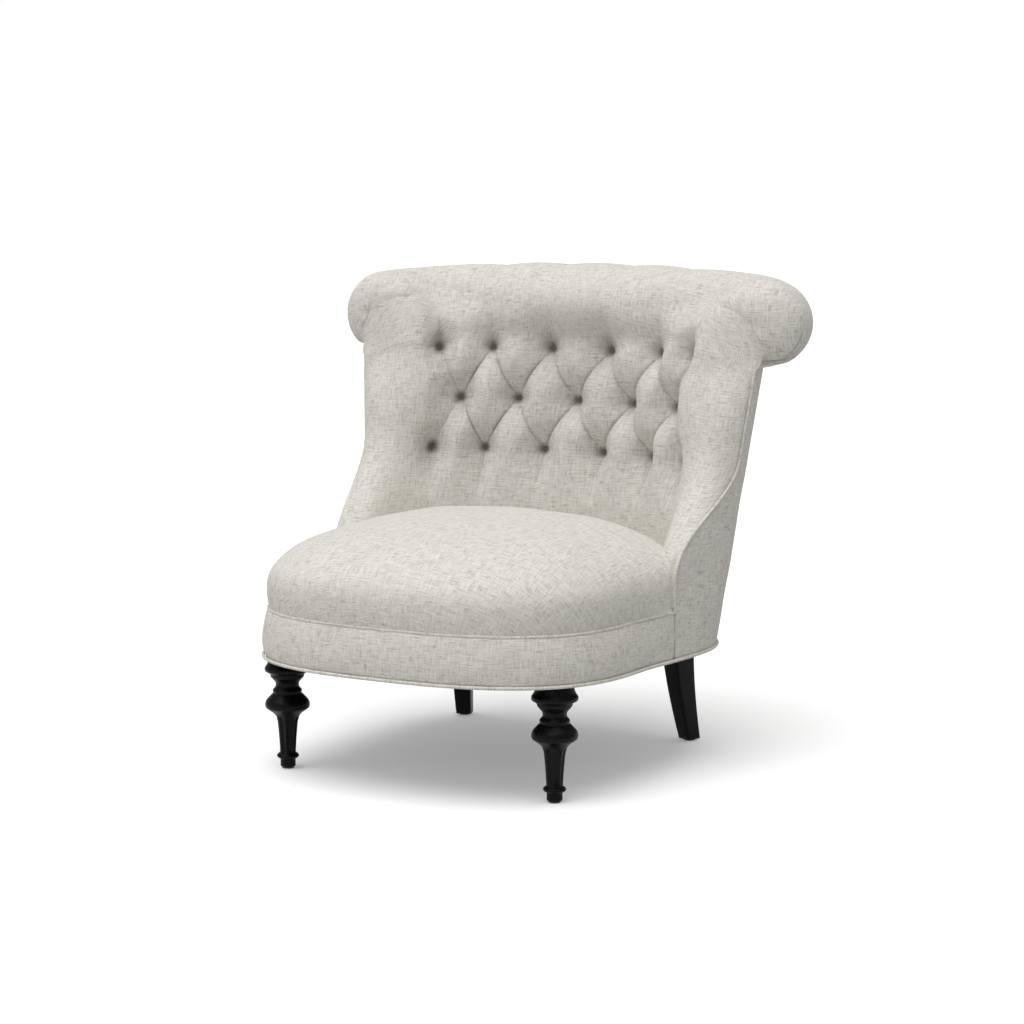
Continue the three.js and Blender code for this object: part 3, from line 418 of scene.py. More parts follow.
# Height is the turn round the roll: 0 in front, a quarter turn on top, negative underneath
def rollPoint(along, height, grow=0.0, pleated=True):
    along, height, grow = np.broadcast_arrays(np.asarray(along, float), height, grow)
    travel = np.abs(along)
    share = np.minimum(1, travel / rollLength)
    cap = np.clip((travel - rollLength) / roll["endLength"], 0, 1)
    back = np.minimum(rollBackLength, travel) / rollRadius
    turn = back + np.maximum(0, np.minimum(rollLength, travel) - rollBackLength) / roll["bendRadius"]
    x = rollRadius * np.sin(back) + roll["bendRadius"] * (np.sin(turn) - np.sin(back))
    y = roll["centreY"] - rollRadius * (1 - np.cos(back))
    y = y - roll["bendRadius"] * (np.cos(back) - np.cos(turn))
    z = roll["centreZ"] - roll["droop"] * share ** 2
    size = np.maximum(0, 1 - cap ** roll["endPower"]) ** (1 / roll["endPower"])
    outer = mixed(roll["breadth"], roll["outer"], share ** 2)
    inner = mixed(roll["breadth"], roll["inner"], smooth(0, rollBackLength / rollLength, share))
    if pleated:
        valley = pleatValley(rollColumn(travel), roll["pleatPower"])
        grow = grow - roll["pleatDepth"] * rollFade(height) * valley
    outward = -np.cos(height)
    breadth = mixed(inner, outer, smooth(-0.25, 0.25, outward)) + grow
    rise = mixed(roll["rise"], roll["endRise"], share ** 2) + grow
    side = size * breadth * outward
    forward = cap * (roll["endLength"] + grow)
    x = x + np.cos(turn) * forward + np.sin(turn) * side
    y = y - np.sin(turn) * forward + np.cos(turn) * side
    return stacked(np.where(along < 0, -x, x), y, z + size * rise * np.sin(height))


# Tufted back and its wings
back = {
    "halfWidth": 0.3, "curve": 0.15, "middleY": 0.226, "lean": 0.163, "turn": math.radians(21.2),
    "rowSpacing": 0.083, "columnWidth": 0.09, "crown": 0.039, "overlap": 0.16,
    "crease": 0.46, "pleat": 0.86, "sidePower": 0.47, "fullness": 0.34,
    "pit": 0.0108, "pitReach": 0.0085, "funnel": 0.7, "funnelReach": 0.022,
    "pinch": 0.0025, "pinchAcross": 0.02, "pinchDown": 0.003,
    "wingStart": 3.0, "noseStart": 3.6, "wingEnd": 4.0, "wingLean": 0.4,
    "reach": 0.034, "reachLow": 0.008, "reachNeck": 0.009, "bottomZ": 0.3358, "wingBottomZ": 0.264,
    "weltRoom": 0.0034, "coverThickness": 0.003, "boardInset": 0.01, "backing": 0.008,
    "bend": 0.9, "nose": 0.7, "topShare": 0.08, "dip": 0.0125, "dipRise": 0.022, "dipReach": 0.023,
    "wingCrease": 0.0024, "creaseReach": 0.005, "thinCrease": 0.0024,
    "finesse": 28, "bridgeFrom": 2.62, "bridgeTo": 3.7, "easing": 150,
    # Painted shade: pitDark and darkReach in the pits, creaseDark and creaseFade in the creases, lineDark
    # and lineReach along the wing's top, shade over the pillows, hollowDark under the roll
    "pitDark": 0.9, "darkReach": 0.0082, "creaseDark": 0.8, "creaseFade": 0.02,
    "lineDark": 0.22, "lineReach": 0.0035, "shade": 0.11, "hollowDark": 0.4,
    "puckerAt": (0.004, 0, 0.003), "puckerReach": 0.007, "puckerDepth": 0.0045,
    "over": 0.0008, "dive": -0.0035, "wingDive": 0.002, "sheetThickness": 0.004,
    "upperSteps": 44, "tailSteps": 34, "tailTurn": math.radians(30), "tailTop": math.radians(100),
    "pleatStart": 0.004, "pleatEnd": 0.076, "lowRows": 44, "creaseV": -0.08,
}
# By column, where the cloth lands on the roll: along it, and by the turn round it in degrees
land = {
    "columns": [0, 1.5, 2.5, 3.0, 3.3, 3.6, 3.8, 4.0],
    "along": [0, 0.1748, 0.33, 0.388, 0.409, 0.422, 0.43, 0.434],
    "heights": [8, 11, 45, 78, 88, 104, 145, 192], "proud": 1.008, "sunk": 0.975,
}
topRowZ = chair["middleRowZ"] + back["rowSpacing"]


def insideBack(column, z, depth):
    sine, cosine = np.sin(back["turn"] * column), np.cos(back["turn"] * column)
    inward = unit(stacked(-sine / back["halfWidth"], -cosine / back["curve"],
                          back["lean"] / back["curve"]))
    y = back["middleY"] + back["lean"] * (z - chair["middleRowZ"]) - back["curve"] * (1 - cosine)
    return stacked(back["halfWidth"] * sine, y, z) + inward * np.asarray(depth)[..., None], inward


def tuftShare(column, row):
    last = np.minimum(2 + np.abs(row) / 2, 2.5)
    held = np.clip(column, -last, last)
    bounded = np.clip(row, -1, 1)
    a = np.abs(np.sin(np.pi * (held + bounded / 2)))
    b = np.abs(np.sin(np.pi * (held - bounded / 2)))
    both = np.sqrt((a * a + b * b) / 2) ** (2 * back["fullness"])
    diamond = mixed((a * b) ** back["fullness"], both, back["crease"])
    pleat = mixed(diamond, 1, back["pleat"] * smooth(0, 1.1, np.abs(row - bounded)))
    return mixed(pleat, 1, smooth(0, 1, np.abs(column - held)) ** back["sidePower"])


def wingHeight(column, z):
    share = (np.abs(column) - back["wingStart"]) / (back["noseStart"] - back["wingStart"])
    kept = mixed(1, back["topShare"], smooth(0, 1, share) ** 0.6)
    return np.where(z > chair["neckZ"], chair["neckZ"] + (z - chair["neckZ"]) * kept, z)


def wingEdge(z, inset):
    return outside(edgeDistance(z) + back["weltRoom"], z, inset)


def mirrored(points, column):
    return stacked(np.where(column < 0, -points[..., 0], points[..., 0]), points[..., 1], points[..., 2])


def padFront(column, z, funnel=None):
    column, z = np.broadcast_arrays(column, z)
    size = np.abs(column)
    across = np.minimum(size, back["wingStart"])
    row = (z - chair["middleRowZ"]) / back["rowSpacing"]
    share = np.ones_like(size) if funnel is None else tuftShare(across, row) * funnel
    place, inward = insideBack(across, z, back["crown"] * share)
    low = wingHeight(size, z)
    edge = wingEdge(low, back["coverThickness"])
    risen = smooth(back["bottomZ"], chair["middleRowZ"] - back["rowSpacing"], low)
    reach = mixed(back["reachLow"], back["reach"], risen)
    reach = mixed(reach, back["reachNeck"], smooth(chair["middleRowZ"], chair["neckZ"], low))
    nose = stacked(edge[..., 0] - back["reach"], edge[..., 1] - reach, low)
    beyond = (size - back["wingStart"]) / (back["noseStart"] - back["wingStart"])
    crown = np.full_like(size, back["crown"])
    ahead = unit(insideBack(across, z, crown)[0] - insideBack(across - 0.01, z, crown)[0])
    length = np.linalg.norm(nose - place, axis=-1, keepdims=True)
    one = np.clip(beyond, 0, 1)[..., None]
    ending = length * np.array([back["nose"], 0, 0])
    bent = cubic(place, ahead * length * back["bend"], nose, ending, one)
    bent[..., 2] = mixed(place[..., 2], low, one[..., 0])
    curl = np.clip((size - back["noseStart"]) / (back["wingEnd"] - back["noseStart"]), 0, 1)
    turn = curl * (math.pi / 2)
    curled = stacked(mixed(nose[..., 0], edge[..., 0], np.sin(turn)),
                     mixed(edge[..., 1], nose[..., 1], np.cos(turn)), low)
    point = np.where((beyond > 1)[..., None], curled, bent)
    point = np.where((size <= back["wingStart"])[..., None], place, point)
    sag = back["overlap"] * back["crown"] * share * (1 - smooth(2.5, 3.5, size))
    sag = sag * smooth(back["bottomZ"], back["bottomZ"] + 0.05, z)
    point[..., 2] -= sag
    return mirrored(point, column), mirrored(inward, column), share


def padBack(column, z):
    size = np.abs(column)
    depth = np.full(np.broadcast(size, z).shape, -back["backing"])
    behind = insideBack(np.minimum(size, back["wingStart"]), z, depth)[0]
    beyond = (np.maximum(0, size - back["wingStart"]) / (back["wingEnd"] - back["wingStart"]))[..., None]
    edge = wingEdge(wingHeight(size, z), back["coverThickness"] + back["boardInset"])
    return mirrored(behind + (edge - behind) * beyond, column)


# A sheet with a near and a far side, closed along all four edges
def closedSlab(name, near, far, uv, turned=None):
    rows, columns = near.shape[:2]
    if turned is not None:
        turned = np.concatenate([turned, np.zeros((rows, columns))])
    faces = gridFaces(2 * rows, columns, closedRows=True, turned=turned)
    for i in (0, columns - 1):
        for j in range(rows - 1):
            quad = [j * columns + i, (j + 1) * columns + i,
                    (2 * rows - 2 - j) * columns + i, (2 * rows - 1 - j) * columns + i]
            faces.append(quad if i == 0 else quad[::-1])
    points = np.concatenate([near, far[::-1]])
    return faceOutward(makeMesh(name, points, faces, np.concatenate([uv, uv[::-1]])))


# Where the cloth above each column lands on the roll
def landing(column):
    size = np.abs(column)
    table = np.linspace(0, 4, 201)
    along = np.interp(table, land["columns"], land["along"])
    height = np.interp(table, land["columns"], np.radians(land["heights"]))
    kernel = np.hanning(19) / np.hanning(19).sum()
    along, height = (np.convolve(np.pad(values, 9, mode="edge"), kernel, "valid")
                     for values in (along, height))
    along = mixed(rollAlong(table), along, smooth(1.8, 2.7, table))
    return np.sign(column) * np.interp(size, table, along), np.interp(size, table, height)


# How far round the roll the cloth reaches before it ends under the roll's own cover
def sheetEnd(height):
    return np.maximum(height + back["tailTurn"], back["tailTop"])


# Moves points that lie inside a rounded end of the roll out to its surface
def outsideEnd(points, size, held):
    turn = roll["endTurn"]
    mirror = np.where(points[..., 0] < 0, -1.0, 1.0)
    x = np.abs(points[..., 0]) - (chair["baseHalfWidth"] + roll["endOut"])
    y = points[..., 1] - rollEndY
    up = (points[..., 2] - (roll["centreZ"] - roll["droop"])) / roll["endRise"]
    ahead = (x * math.cos(turn) - y * math.sin(turn)) / roll["endLength"]
    side = x * math.sin(turn) + y * math.cos(turn)
    side = side / np.where(side > 0, roll["outer"], roll["inner"])
    ring = np.sqrt(side ** 2 + up ** 2)
    power = roll["endPower"]
    level = (np.maximum(ahead, 0) ** power + ring ** power) ** (1 / power)
    grow = np.maximum(1, land["proud"] / np.maximum(level, 0.05))
    sunk = mixed(land["proud"], land["sunk"], smooth(3.75, 4.0, size)) / np.maximum(level, 0.05)
    grow = mixed(grow, sunk, held * smooth(3.45, 3.75, size))
    grow = np.where(ahead > -0.3, grow, 1)
    side, up, ahead = side * grow, up * grow, np.where(ahead > 0, ahead * grow, ahead)
    side = side * np.where(side > 0, roll["outer"], roll["inner"])
    x = ahead * roll["endLength"] * math.cos(turn) + side * math.sin(turn)
    y = -ahead * roll["endLength"] * math.sin(turn) + side * math.cos(turn)
    z = up * roll["endRise"] + roll["centreZ"] - roll["droop"]
    return stacked(mirror * (x + chair["baseHalfWidth"] + roll["endOut"]), y + rollEndY, z)


# The cloth spans the hollow between the outer pleats and the roll's ends, as cloth drawn tight does
def bridged(points, size, share):
    result = points.copy()
    for side in (points[:, 0] < 0, points[:, 0] > 0):
        chosen = np.flatnonzero(side & (size >= back["bridgeFrom"]) & (size <= back["bridgeTo"]))
        chosen = chosen[np.argsort(size[chosen])]
        x, y = np.abs(points[chosen, 0]), points[chosen, 1]
        hull = []
        for k in range(len(chosen)):
            while len(hull) > 1:
                first, second = hull[-2], hull[-1]
                spanX, spanY = x[second] - x[first], y[second] - y[first]
                if spanX * (y[k] - y[first]) - spanY * (x[k] - x[first]) > 0:
                    break
                hull.pop()
            hull.append(k)
        place = np.arange(len(chosen))
        result[chosen, 1] = mixed(y, np.interp(place, hull, y[hull]), share)
        result[chosen, 0] = np.sign(points[chosen, 0]) * mixed(x, np.interp(place, hull, x[hull]), share)
    return result


# The hollow under the roll, by height above the top row of buttons
def dipAbove(rise):
    return back["dip"] * hump(rise - back["dipRise"], back["dipReach"])


# Smooths the wings and the cloth over the roll's ends, but not the tufts, the crease and the free edges
def eased(points, size, crease):
    count = len(points)
    row = np.arange(count)[:, None]
    above = smooth(crease + 1, crease + 12, row)
    high = smooth(crease + 14, crease + 30, row)
    edge = mixed(mixed(2.72, back["bridgeFrom"] - 0.08, above), 2.2, high)
    loose = smooth(edge, edge + mixed(0.22, 0.5, high), size) * (1 - smooth(3.8, 3.97, size))
    loose = loose * (1 - 0.9 * hump(row - crease, 1.6)) * smooth(0, 6, row)
    loose = loose * (1 - smooth(count - 9, count - 3, row))
    for _ in range(back["easing"]):
        middle = points[1:-1, 1:-1]
        around = (points[2:, 1:-1] + points[:-2, 1:-1] + points[1:-1, 2:] + points[1:-1, :-2]) / 4
        points[1:-1, 1:-1] = middle + (around - middle) * loose[1:-1, 1:-1, None]
    thin = back["thinCrease"] * hump(row - crease, 1.1)
    points[..., 1] += thin * smooth(2.5, 2.6, size) * (1 - smooth(3.3, 3.7, size))
    # A small pucker in the end on the sitter's left
    away = points - rollPoint(rollReach, 0.0) - np.array(back["puckerAt"])
    points[..., 1] += back["puckerDepth"] * nearness(np.sum(away ** 2, axis=-1), back["puckerReach"])
    return points


# Painted shade in the pits, where shade falls, wider at the outer buttons
def paintedShadeOf(away, size):
    reach = back["darkReach"] * (1 + 0.4 * smooth(1.6, 2.4, size))
    return back["pitDark"] * nearness(away, reach)


def tuftedBack():
    n = back["finesse"]
    inner = np.arange(-3 * 2 * n, 3 * 2 * n + 1) / (2 * n)
    wing = np.concatenate([np.linspace(3, 3.6, 29)[1:], np.linspace(3.6, 4, 21)[1:]])
    columns = np.concatenate([-wing[::-1], inner, wing])
    size = np.abs(columns)
    lowCount = back["lowRows"]
    rows = np.concatenate([np.zeros(lowCount), np.arange(-n, n + 1) / n])
    column, row = np.meshgrid(columns, rows)
    # Beyond the tufts the pad goes on down beside the seat
    lowest = mixed(back["bottomZ"], back["wingBottomZ"], smooth(2.0, 3.0, size))
    lowest = (lowest - chair["middleRowZ"]) / back["rowSpacing"]
    for j in range(lowCount):
        row[j] = mixed(lowest, -1, j / lowCount)
    levels = chair["middleRowZ"] + row * back["rowSpacing"]
    last = np.where(np.abs(row) > 0.5, 2.5, 2.0)
    nearest = np.where(np.abs(row) > 0.5, np.floor(np.abs(column)) + 0.5, np.round(np.abs(column)))
    across = (np.abs(column) - np.minimum(nearest, last)) * back["columnWidth"]
    down = (row - np.clip(np.round(row), -1, 1)) * back["rowSpacing"]
    away = across ** 2 + down ** 2
    mouth = back["funnelReach"] * (1 + 0.35 * smooth(1.5, 2.5, np.abs(column)))
    near, inward, share = padFront(column, levels, 1 - back["funnel"] * nearness(away, mouth))
    far = padBack(column, levels)
    # Painted shade in the creases and the pits, along the wing's top and over the whole pillow, where the
    # back is shaded
    paintedShade = back["creaseDark"] * (1 - smooth(0.0, 0.3, tuftShare(np.minimum(np.abs(column), 3), row)))
    close = 0.45 + 0.55 * nearness(away, back["creaseFade"])
    paintedShade = paintedShade * close * (1 - smooth(2.6, 2.9, np.abs(column))) * smooth(-1.25, -0.95, row)
    paintedShade = np.maximum(paintedShade, paintedShadeOf(away, np.abs(column)))
    below = (1 - row) * back["rowSpacing"]
    line = hump(below, back["lineReach"]) * smooth(2.5, 2.6, np.abs(column))
    paintedShade = np.maximum(paintedShade, back["lineDark"] * line * (1 - smooth(3.2, 3.9, np.abs(column))))
    paintedShade = np.maximum(paintedShade, back["shade"] * (1 - smooth(2.4, 3.1, np.abs(column))))
    # Pinches beside the buttons and the crease along the wing's top
    pinch = np.exp(-(across / back["pinchAcross"]) ** 2 - ((down + 0.003) / back["pinchDown"]) ** 2)
    pinch = pinch * smooth(0.05, 0.3, share)
    wingTop = smooth(2.5, 2.62, size) * (1 - 0.2 * smooth(3.2, 4.0, size))
    crease = np.exp(-below / back["creaseReach"]) * wingTop
    pit = back["pit"] * nearness(away, back["pitReach"])
    dip = dipAbove((row - 1) * back["rowSpacing"]) * share * (1 - smooth(1.6, 2.7, np.abs(column)))
    near = near - inward * (back["pinch"] * pinch + back["wingCrease"] * crease + pit + dip)[..., None]
    # From the top row up on to the roll, as a curve for each column
    top = np.full_like(columns, topRowZ)
    first, topInward, _ = padFront(columns, top)
    along, height = landing(columns)
    target = rollPoint(along, height, back["over"], False)
    outward = unit(rollPoint(along, height, 0.01, False) - rollPoint(along, height, 0, False))
    wings = smooth(1.6, 2.7, size)
    outer = np.sign(columns) * smooth(3.5, 4.0, size)
    rising = unit(stacked(outer, mixed(back["lean"], back["wingLean"], wings), 1.0))
    onward = target - first + stacked(0.0, 0.0, 0.05)
    onward = unit(onward - outward * np.sum(onward * outward, axis=1, keepdims=True))
    length = np.linalg.norm(target - first, axis=1, keepdims=True) * mixed(1.0, 1.1, wings)[:, None]
    backward = far[-1] - first
    upper, upperFar, upperPaintedShade = [], [], []
    steps = back["upperSteps"]
    landPleat = roll["pleatDepth"] * rollFade(height)
    for t in np.arange(1, steps + 1) / steps:
        base = cubic(first, rising * length, target, onward * length, t)
        normal = unit(topInward * (1 - t) + outward * t)
        wide = mixed(2 * back["fullness"], roll["pleatPower"], smooth(0, 0.4, t))
        valley = 1 - np.abs(np.cos(np.pi * np.minimum(size, 3))) ** wide
        aside = 1 - smooth(0, 1, size - 2.5) ** back["sidePower"]
        valley = np.where(size > 2.5, mixed(aside, valley, smooth(0, 0.5, t)), valley)
        risen = t * length[:, 0]
        away = ((size - np.minimum(np.floor(size) + 0.5, 2.5)) * back["columnWidth"]) ** 2 + risen ** 2
        pit = back["pit"] * nearness(away, back["pitReach"])
        valley = 1 - (1 - valley) * (1 - back["funnel"] * nearness(away, mouth[0]))
        deep = mixed(back["crown"], landPleat, smooth(back["pleatStart"], back["pleatEnd"], risen))
        dip = dipAbove(risen) * (1 - wings) * (1 - valley)
        fold = back["wingCrease"] * np.exp(-risen / back["creaseReach"]) * wingTop
        point = base - normal * (deep * valley + dip + fold + pit)[:, None]
        lift = back["overlap"] * back["crown"] * valley * (1 - smooth(0, 0.6, t))
        point[:, 2] += lift * (1 - smooth(2.5, 3.5, size))
        point = np.where((size > 2.9)[:, None], outsideEnd(point, size, smooth(0.1, 0.3, t)), point)
        point = bridged(point, size, 1 - smooth(0.3, 1.0, t))
        upper.append(point)
        # Painted shade in the pleats above the top buttons, over the pillows and in the hollow under the
        # roll's overhang
        dark = back["creaseDark"] * smooth(0.7, 1.0, valley) * (1 - smooth(0, 0.03, risen))
        shaded = back["shade"] * (1 - smooth(2.4, 3.1, size)) * (1 - smooth(0.3, 1, t))
        hollow = back["hollowDark"] * smooth(0.25, 0.95, valley) * hump(risen - 0.014, 0.02)
        hollow = hollow * (1 - smooth(2.6, 2.9, size))
        upperPaintedShade.append(np.max([paintedShadeOf(away, size), dark, shaded, hollow], axis=0))
        upperFar.append(point + backward * (1 - smooth(0, 0.7, t)) - normal * back["sheetThickness"])
    # Over the roll, just proud of it, until it dives under the roll's own cover
    tail = back["tailSteps"]
    tailEnd = sheetEnd(height)
    for share in np.arange(1, tail + 1) / tail:
        turn = mixed(height, tailEnd, share)
        dive = smooth(tailEnd - 0.9 * back["tailTurn"], tailEnd, turn)
        grow = mixed(back["over"], back["dive"], dive) - back["wingDive"] * smooth(2.9, 3.3, size) * dive
        upper.append(rollPoint(along, turn, grow))
        upperFar.append(rollPoint(along, turn, grow - back["sheetThickness"]))
    near = eased(np.concatenate([near, np.array(upper)]), size, len(rows))
    far = np.concatenate([far, np.array(upperFar)])
    # The weave follows the cloth from the seat up on to the roll
    middle = padFront(columns, top * 0 + chair["middleRowZ"])[0]
    across = pathLengths(middle)
    across -= across[len(columns) // 2]
    risen = np.concatenate([rows * 0, np.arange(1, steps + 1) / steps, np.ones(tail)])
    blend = smooth(0, 1, risen)[:, None]
    clothU = mixed(across[None, :], along[None, :], blend)
    creaseV = back["creaseV"]
    low = creaseV + (row - 1) * back["rowSpacing"]
    smoothRise = np.linalg.norm(np.diff(near[lowCount + 2 * n:], axis=0), axis=2)
    smoothRise = np.cumsum(smoothRise, axis=0)
    landed = (height * roll["girth"] - creaseV) / smoothRise[steps - 1]
    landed = np.interp(np.minimum(size, 2.5), columns[columns >= 0], landed[columns >= 0])
    clothV = np.concatenate([low, creaseV + smoothRise * landed])
    run = np.cumsum(np.linalg.norm(np.diff(near, axis=1), axis=2), axis=1)
    run = np.concatenate([np.zeros((len(near), 1)), run], axis=1)
    for side, last in ((-1, np.argmin(np.abs(columns + 2.5))), (1, np.argmin(np.abs(columns - 2.5)))):
        half = columns * side > 0
        run[:, half] += clothU[:, last:last + 1] - run[:, last:last + 1]
    beyond = (size > 2.5)[None, :] & (blend > 0)
    clothU = np.where(beyond, run, clothU)
    # Cell diagonals follow the creases
    turned = np.zeros(clothV.shape)
    middleColumn = (columns[:-1] + columns[1:]) / 2
    for j in range(lowCount, len(rows) - 1):
        middleRow = (rows[j] + rows[j + 1]) / 2
        rightUp = np.abs(np.sin(np.pi * (middleColumn - middleRow / 2)))
        leftUp = np.abs(np.sin(np.pi * (middleColumn + middleRow / 2)))
        turned[j, :-1] = np.where(leftUp < rightUp, 1, -1)
    piece = closedSlab("tuftedBack", near, far, stacked(clothU, clothV), turned)
    paintedShade = np.concatenate([paintedShade, np.array(upperPaintedShade), np.zeros((tail, len(columns)))])
    paintedShade = np.concatenate([paintedShade, paintedShade[::-1]]).ravel()
    setPaintedShade(piece, paintedShade)
    return piece


tufted = tuftedBack()
tufted.data.materials.append(linenCloth)
print("tufted back made")


def rollCover():
    main = np.linspace(0, rollLength, 230)
    cap = rollLength + roll["endLength"] * np.sin(np.linspace(0, math.pi / 2, 60)[1:-1])
    half = np.concatenate([main[1:], cap])
    along = np.concatenate([-half[::-1], [0], half])
    heights = np.linspace(-math.pi, math.pi, 128, endpoint=False)
    height, travel = np.meshgrid(heights, along)
    column = np.abs(rollColumn(travel))
    landed = sheetEnd(landing(rollColumn(np.abs(travel)))[1]) - back["tailTurn"]
    # Room for the tufted sheet, which covers the front of the roll
    window = smooth(-2.3, -1.9, height) * (1 - smooth(-0.3, -0.02, height - landed))
    window = window * (1 - smooth(3.0, 3.3, column))
    capShare = np.clip((np.abs(travel) - rollLength) / roll["endLength"], 0, 1)
    radius = np.maximum(0, 1 - capShare ** roll["endPower"]) ** (1 / roll["endPower"])
    wrapped = np.where(height < -1.2, height + 2 * math.pi, height)
    low = smooth(3.0, 3.5, wrapped) * (1 - smooth(4.9, 5.2, wrapped))
    # Gathers on the roll's ends, with painted shade along each
    gathers, paintedShade = 0, 0
    for reach in roll["gathers"]:
        offset = np.abs(travel) - mixed(reach, roll["neck"], smooth(3.1, 4.7, wrapped))
        gathers = gathers + hump(offset, roll["gatherWidth"]) * low
        paintedShade = np.maximum(paintedShade, hump(offset, roll["darkWidth"]) * low * roll["gatherDark"])
    dimple = hump(radius, roll["dimpleReach"]) * roll["dimple"] * (capShare > 0)
    beneath = smooth(-2.3, -1.9, height) * (1 - smooth(1.0, 1.6, height)) * smooth(3.0, 3.3, column)
    grow = -roll["sheetRoom"] * window - roll["wingRoom"] * beneath - roll["gatherDepth"] * gathers
    points = rollPoint(travel, height, grow)
    endX, endY = math.cos(roll["endTurn"]), -math.sin(roll["endTurn"])
    points = points - stacked(np.sign(travel) * endX, endY, 0.0) * dimple[..., None]
    rings, count = travel.shape
    poles = rollPoint(np.array([-rollReach, rollReach]), 0.0)
    poles = poles - np.array([[-endX, endY, 0], [endX, endY, 0]]) * roll["dimple"]
    allPoints = np.concatenate([points.reshape(-1, 3), poles])
    uv = stacked(travel, height * roll["girth"]).reshape(-1, 2)
    uv = np.concatenate([uv, [[-rollReach, 0.2], [rollReach, 0.2]]])
    piece = makeMesh("rollCover", allPoints, ringFaces(rings, count), uv)
    # On the rounded ends the cloth lies flat across the face of the roll
    mesh = piece.data
    layer = mesh.uv_layers["UVMap"]
    sideways = np.array([math.sin(roll["endTurn"]), math.cos(roll["endTurn"])])
    for polygon in mesh.polygons:
        ringsOf = [min(vertex // count, rings - 1) for vertex in polygon.vertices]
        if min(abs(along[min(ringsOf)]), abs(along[max(ringsOf)])) >= rollLength + roll["flatFrom"]:
            for loop in polygon.loop_indices:
                place = mesh.vertices[mesh.loops[loop].vertex_index].co
                side = 1 if place.x > 0 else -1
                onward = abs(place.x) * sideways[0] + place.y * sideways[1]
                layer.data[loop].uv = (side * rollLength + side * onward, place.z)
        else:
            values = [mesh.loops[loop].vertex_index % count for loop in polygon.loop_indices]
            if max(values) - min(values) > count // 2:
                for loop in polygon.loop_indices:
                    if mesh.loops[loop].vertex_index % count < count // 2:
                        layer.data[loop].uv[1] += 2 * math.pi * roll["girth"]
    setPaintedShade(piece, np.append(paintedShade.ravel(), [0, 0]))
    return faceOutward(piece)


rollPiece = rollCover()
rollPiece.data.materials.append(linenCloth)
print("roll made")

# Seat cushion
seat = {
    "inset": 0.009, "frontInset": 0.007, "rearY": 0.1615, "rearPower": 3.5, "wallRise": 0.04,
    "crownPower": 2.2, "centreShare": 0.59, "bulge": 0.0025, "foot": -0.0015, "footBeside": 0.0062,
    "sideRoom": 0.0105, "wave": 0.0009, "dartDepth": 0.003, "around": 320, "rings": 74, "wallRings": 18,
}


# Slow unevenness of stuffed cloth
def slow(x, y, z=0.0):
    return (np.sin(23 * x + 1.7 * np.sin(17 * y + 2)) * np.sin(19 * y + 0.8 + 1.3 * np.sin(21 * x))
            + 0.5 * np.sin(41 * x + 29 * y + 33 * z + 1.0))


def seatCover():
    turn = np.linspace(0, 2 * math.pi, seat["around"], endpoint=False)
    rear = np.sin(turn) > 0
    power = np.where(rear, seat["rearPower"], chair["frontRoundness"])
    reach = np.where(rear, seat["rearY"] - frontCurveY, chair["frontCurveDepth"] - seat["frontInset"])
    x = (frontHalfWidth - seat["inset"]) * rounded(np.cos(turn), power)
    y = frontCurveY + reach * rounded(np.sin(turn), power)
    outline = stacked(x, y)
    centre = np.array([0.0, mixed(chair["frontY"], seat["rearY"], seat["centreShare"])])
    away = unit(outline - centre)
    # Beside the wings the cushion presses against their covers
    pressed = smooth(-0.17, -0.05, y) * (1 - smooth(0.02, 0.09, y))
    outline = outline + away * (seat["sideRoom"] * pressed)[:, None]
    atSeam = smooth(-0.1, -0.05, y) * (1 - smooth(0.0, 0.05, y))
    bottom = chair["seatWeltZ"]
    wallTop = chair["railTopZ"] + seat["wallRise"]
    profile = []
    for share in np.linspace(0, 1, seat["wallRings"]):
        foot = mixed(seat["foot"], seat["footBeside"], atSeam) * (1 - share) ** 3
        swell = foot + seat["bulge"] * math.sin(math.pi * share * 0.6)
        profile.append((1.0, swell[:, None], mixed(bottom, wallTop, share)))
    for angle in np.linspace(0, math.pi / 2, seat["rings"] - seat["wallRings"] + 1)[1:-1]:
        share = math.cos(angle)
        crown = (1 - share ** seat["crownPower"]) ** (1 / seat["crownPower"])
        swell = seat["bulge"] * math.sin(math.pi * min(1, 0.6 + 0.6 * angle))
        profile.append((share, swell, mixed(wallTop, chair["seatTopZ"], crown)))
    rings = []
    for share, swell, z in profile:
        ring = centre + (outline - centre) * share + away * swell
        rings.append(stacked(ring[:, 0], ring[:, 1], z))
    points = np.array(rings)
    wave = seat["wave"] * slow(points[..., 0], points[..., 1], points[..., 2])
    points[..., 2] += wave * smooth(0.27, 0.33, points[..., 2])
    # A small dart in the front edge, on the sitter's right of the middle
    angle = np.arctan2(points[..., 0] - 0.05, -(points[..., 1] + 0.05))
    dart = hump(angle - 0.02 + (points[..., 2] - 0.3) * 1.2, 0.012)
    dart = dart * hump(points[..., 2] - 0.295, 0.018) * (points[..., 1] < -0.2)
    points[..., 1] += seat["dartDepth"] * dart
    poles = np.array([[centre[0], centre[1], bottom], [centre[0], centre[1], chair["seatTopZ"]]])
    allPoints = np.concatenate([points.reshape(-1, 3), poles])
    # The weave runs straight over the top and down the sides
    down = np.maximum(0, wallTop + 0.03 - points[..., 2])
    u = points[..., 0] + away[None, :, 0] * down
    v = points[..., 1] + away[None, :, 1] * down
    uv = np.concatenate([stacked(u, v).reshape(-1, 2), [[0, 0], [0, centre[1]]]])
    faces = ringFaces(len(points), len(turn))
    return faceOutward(makeMesh("seatCushion", allPoints, faces, uv))


seatPiece = seatCover()
seatPiece.data.materials.append(linenCloth)
print("seat made")

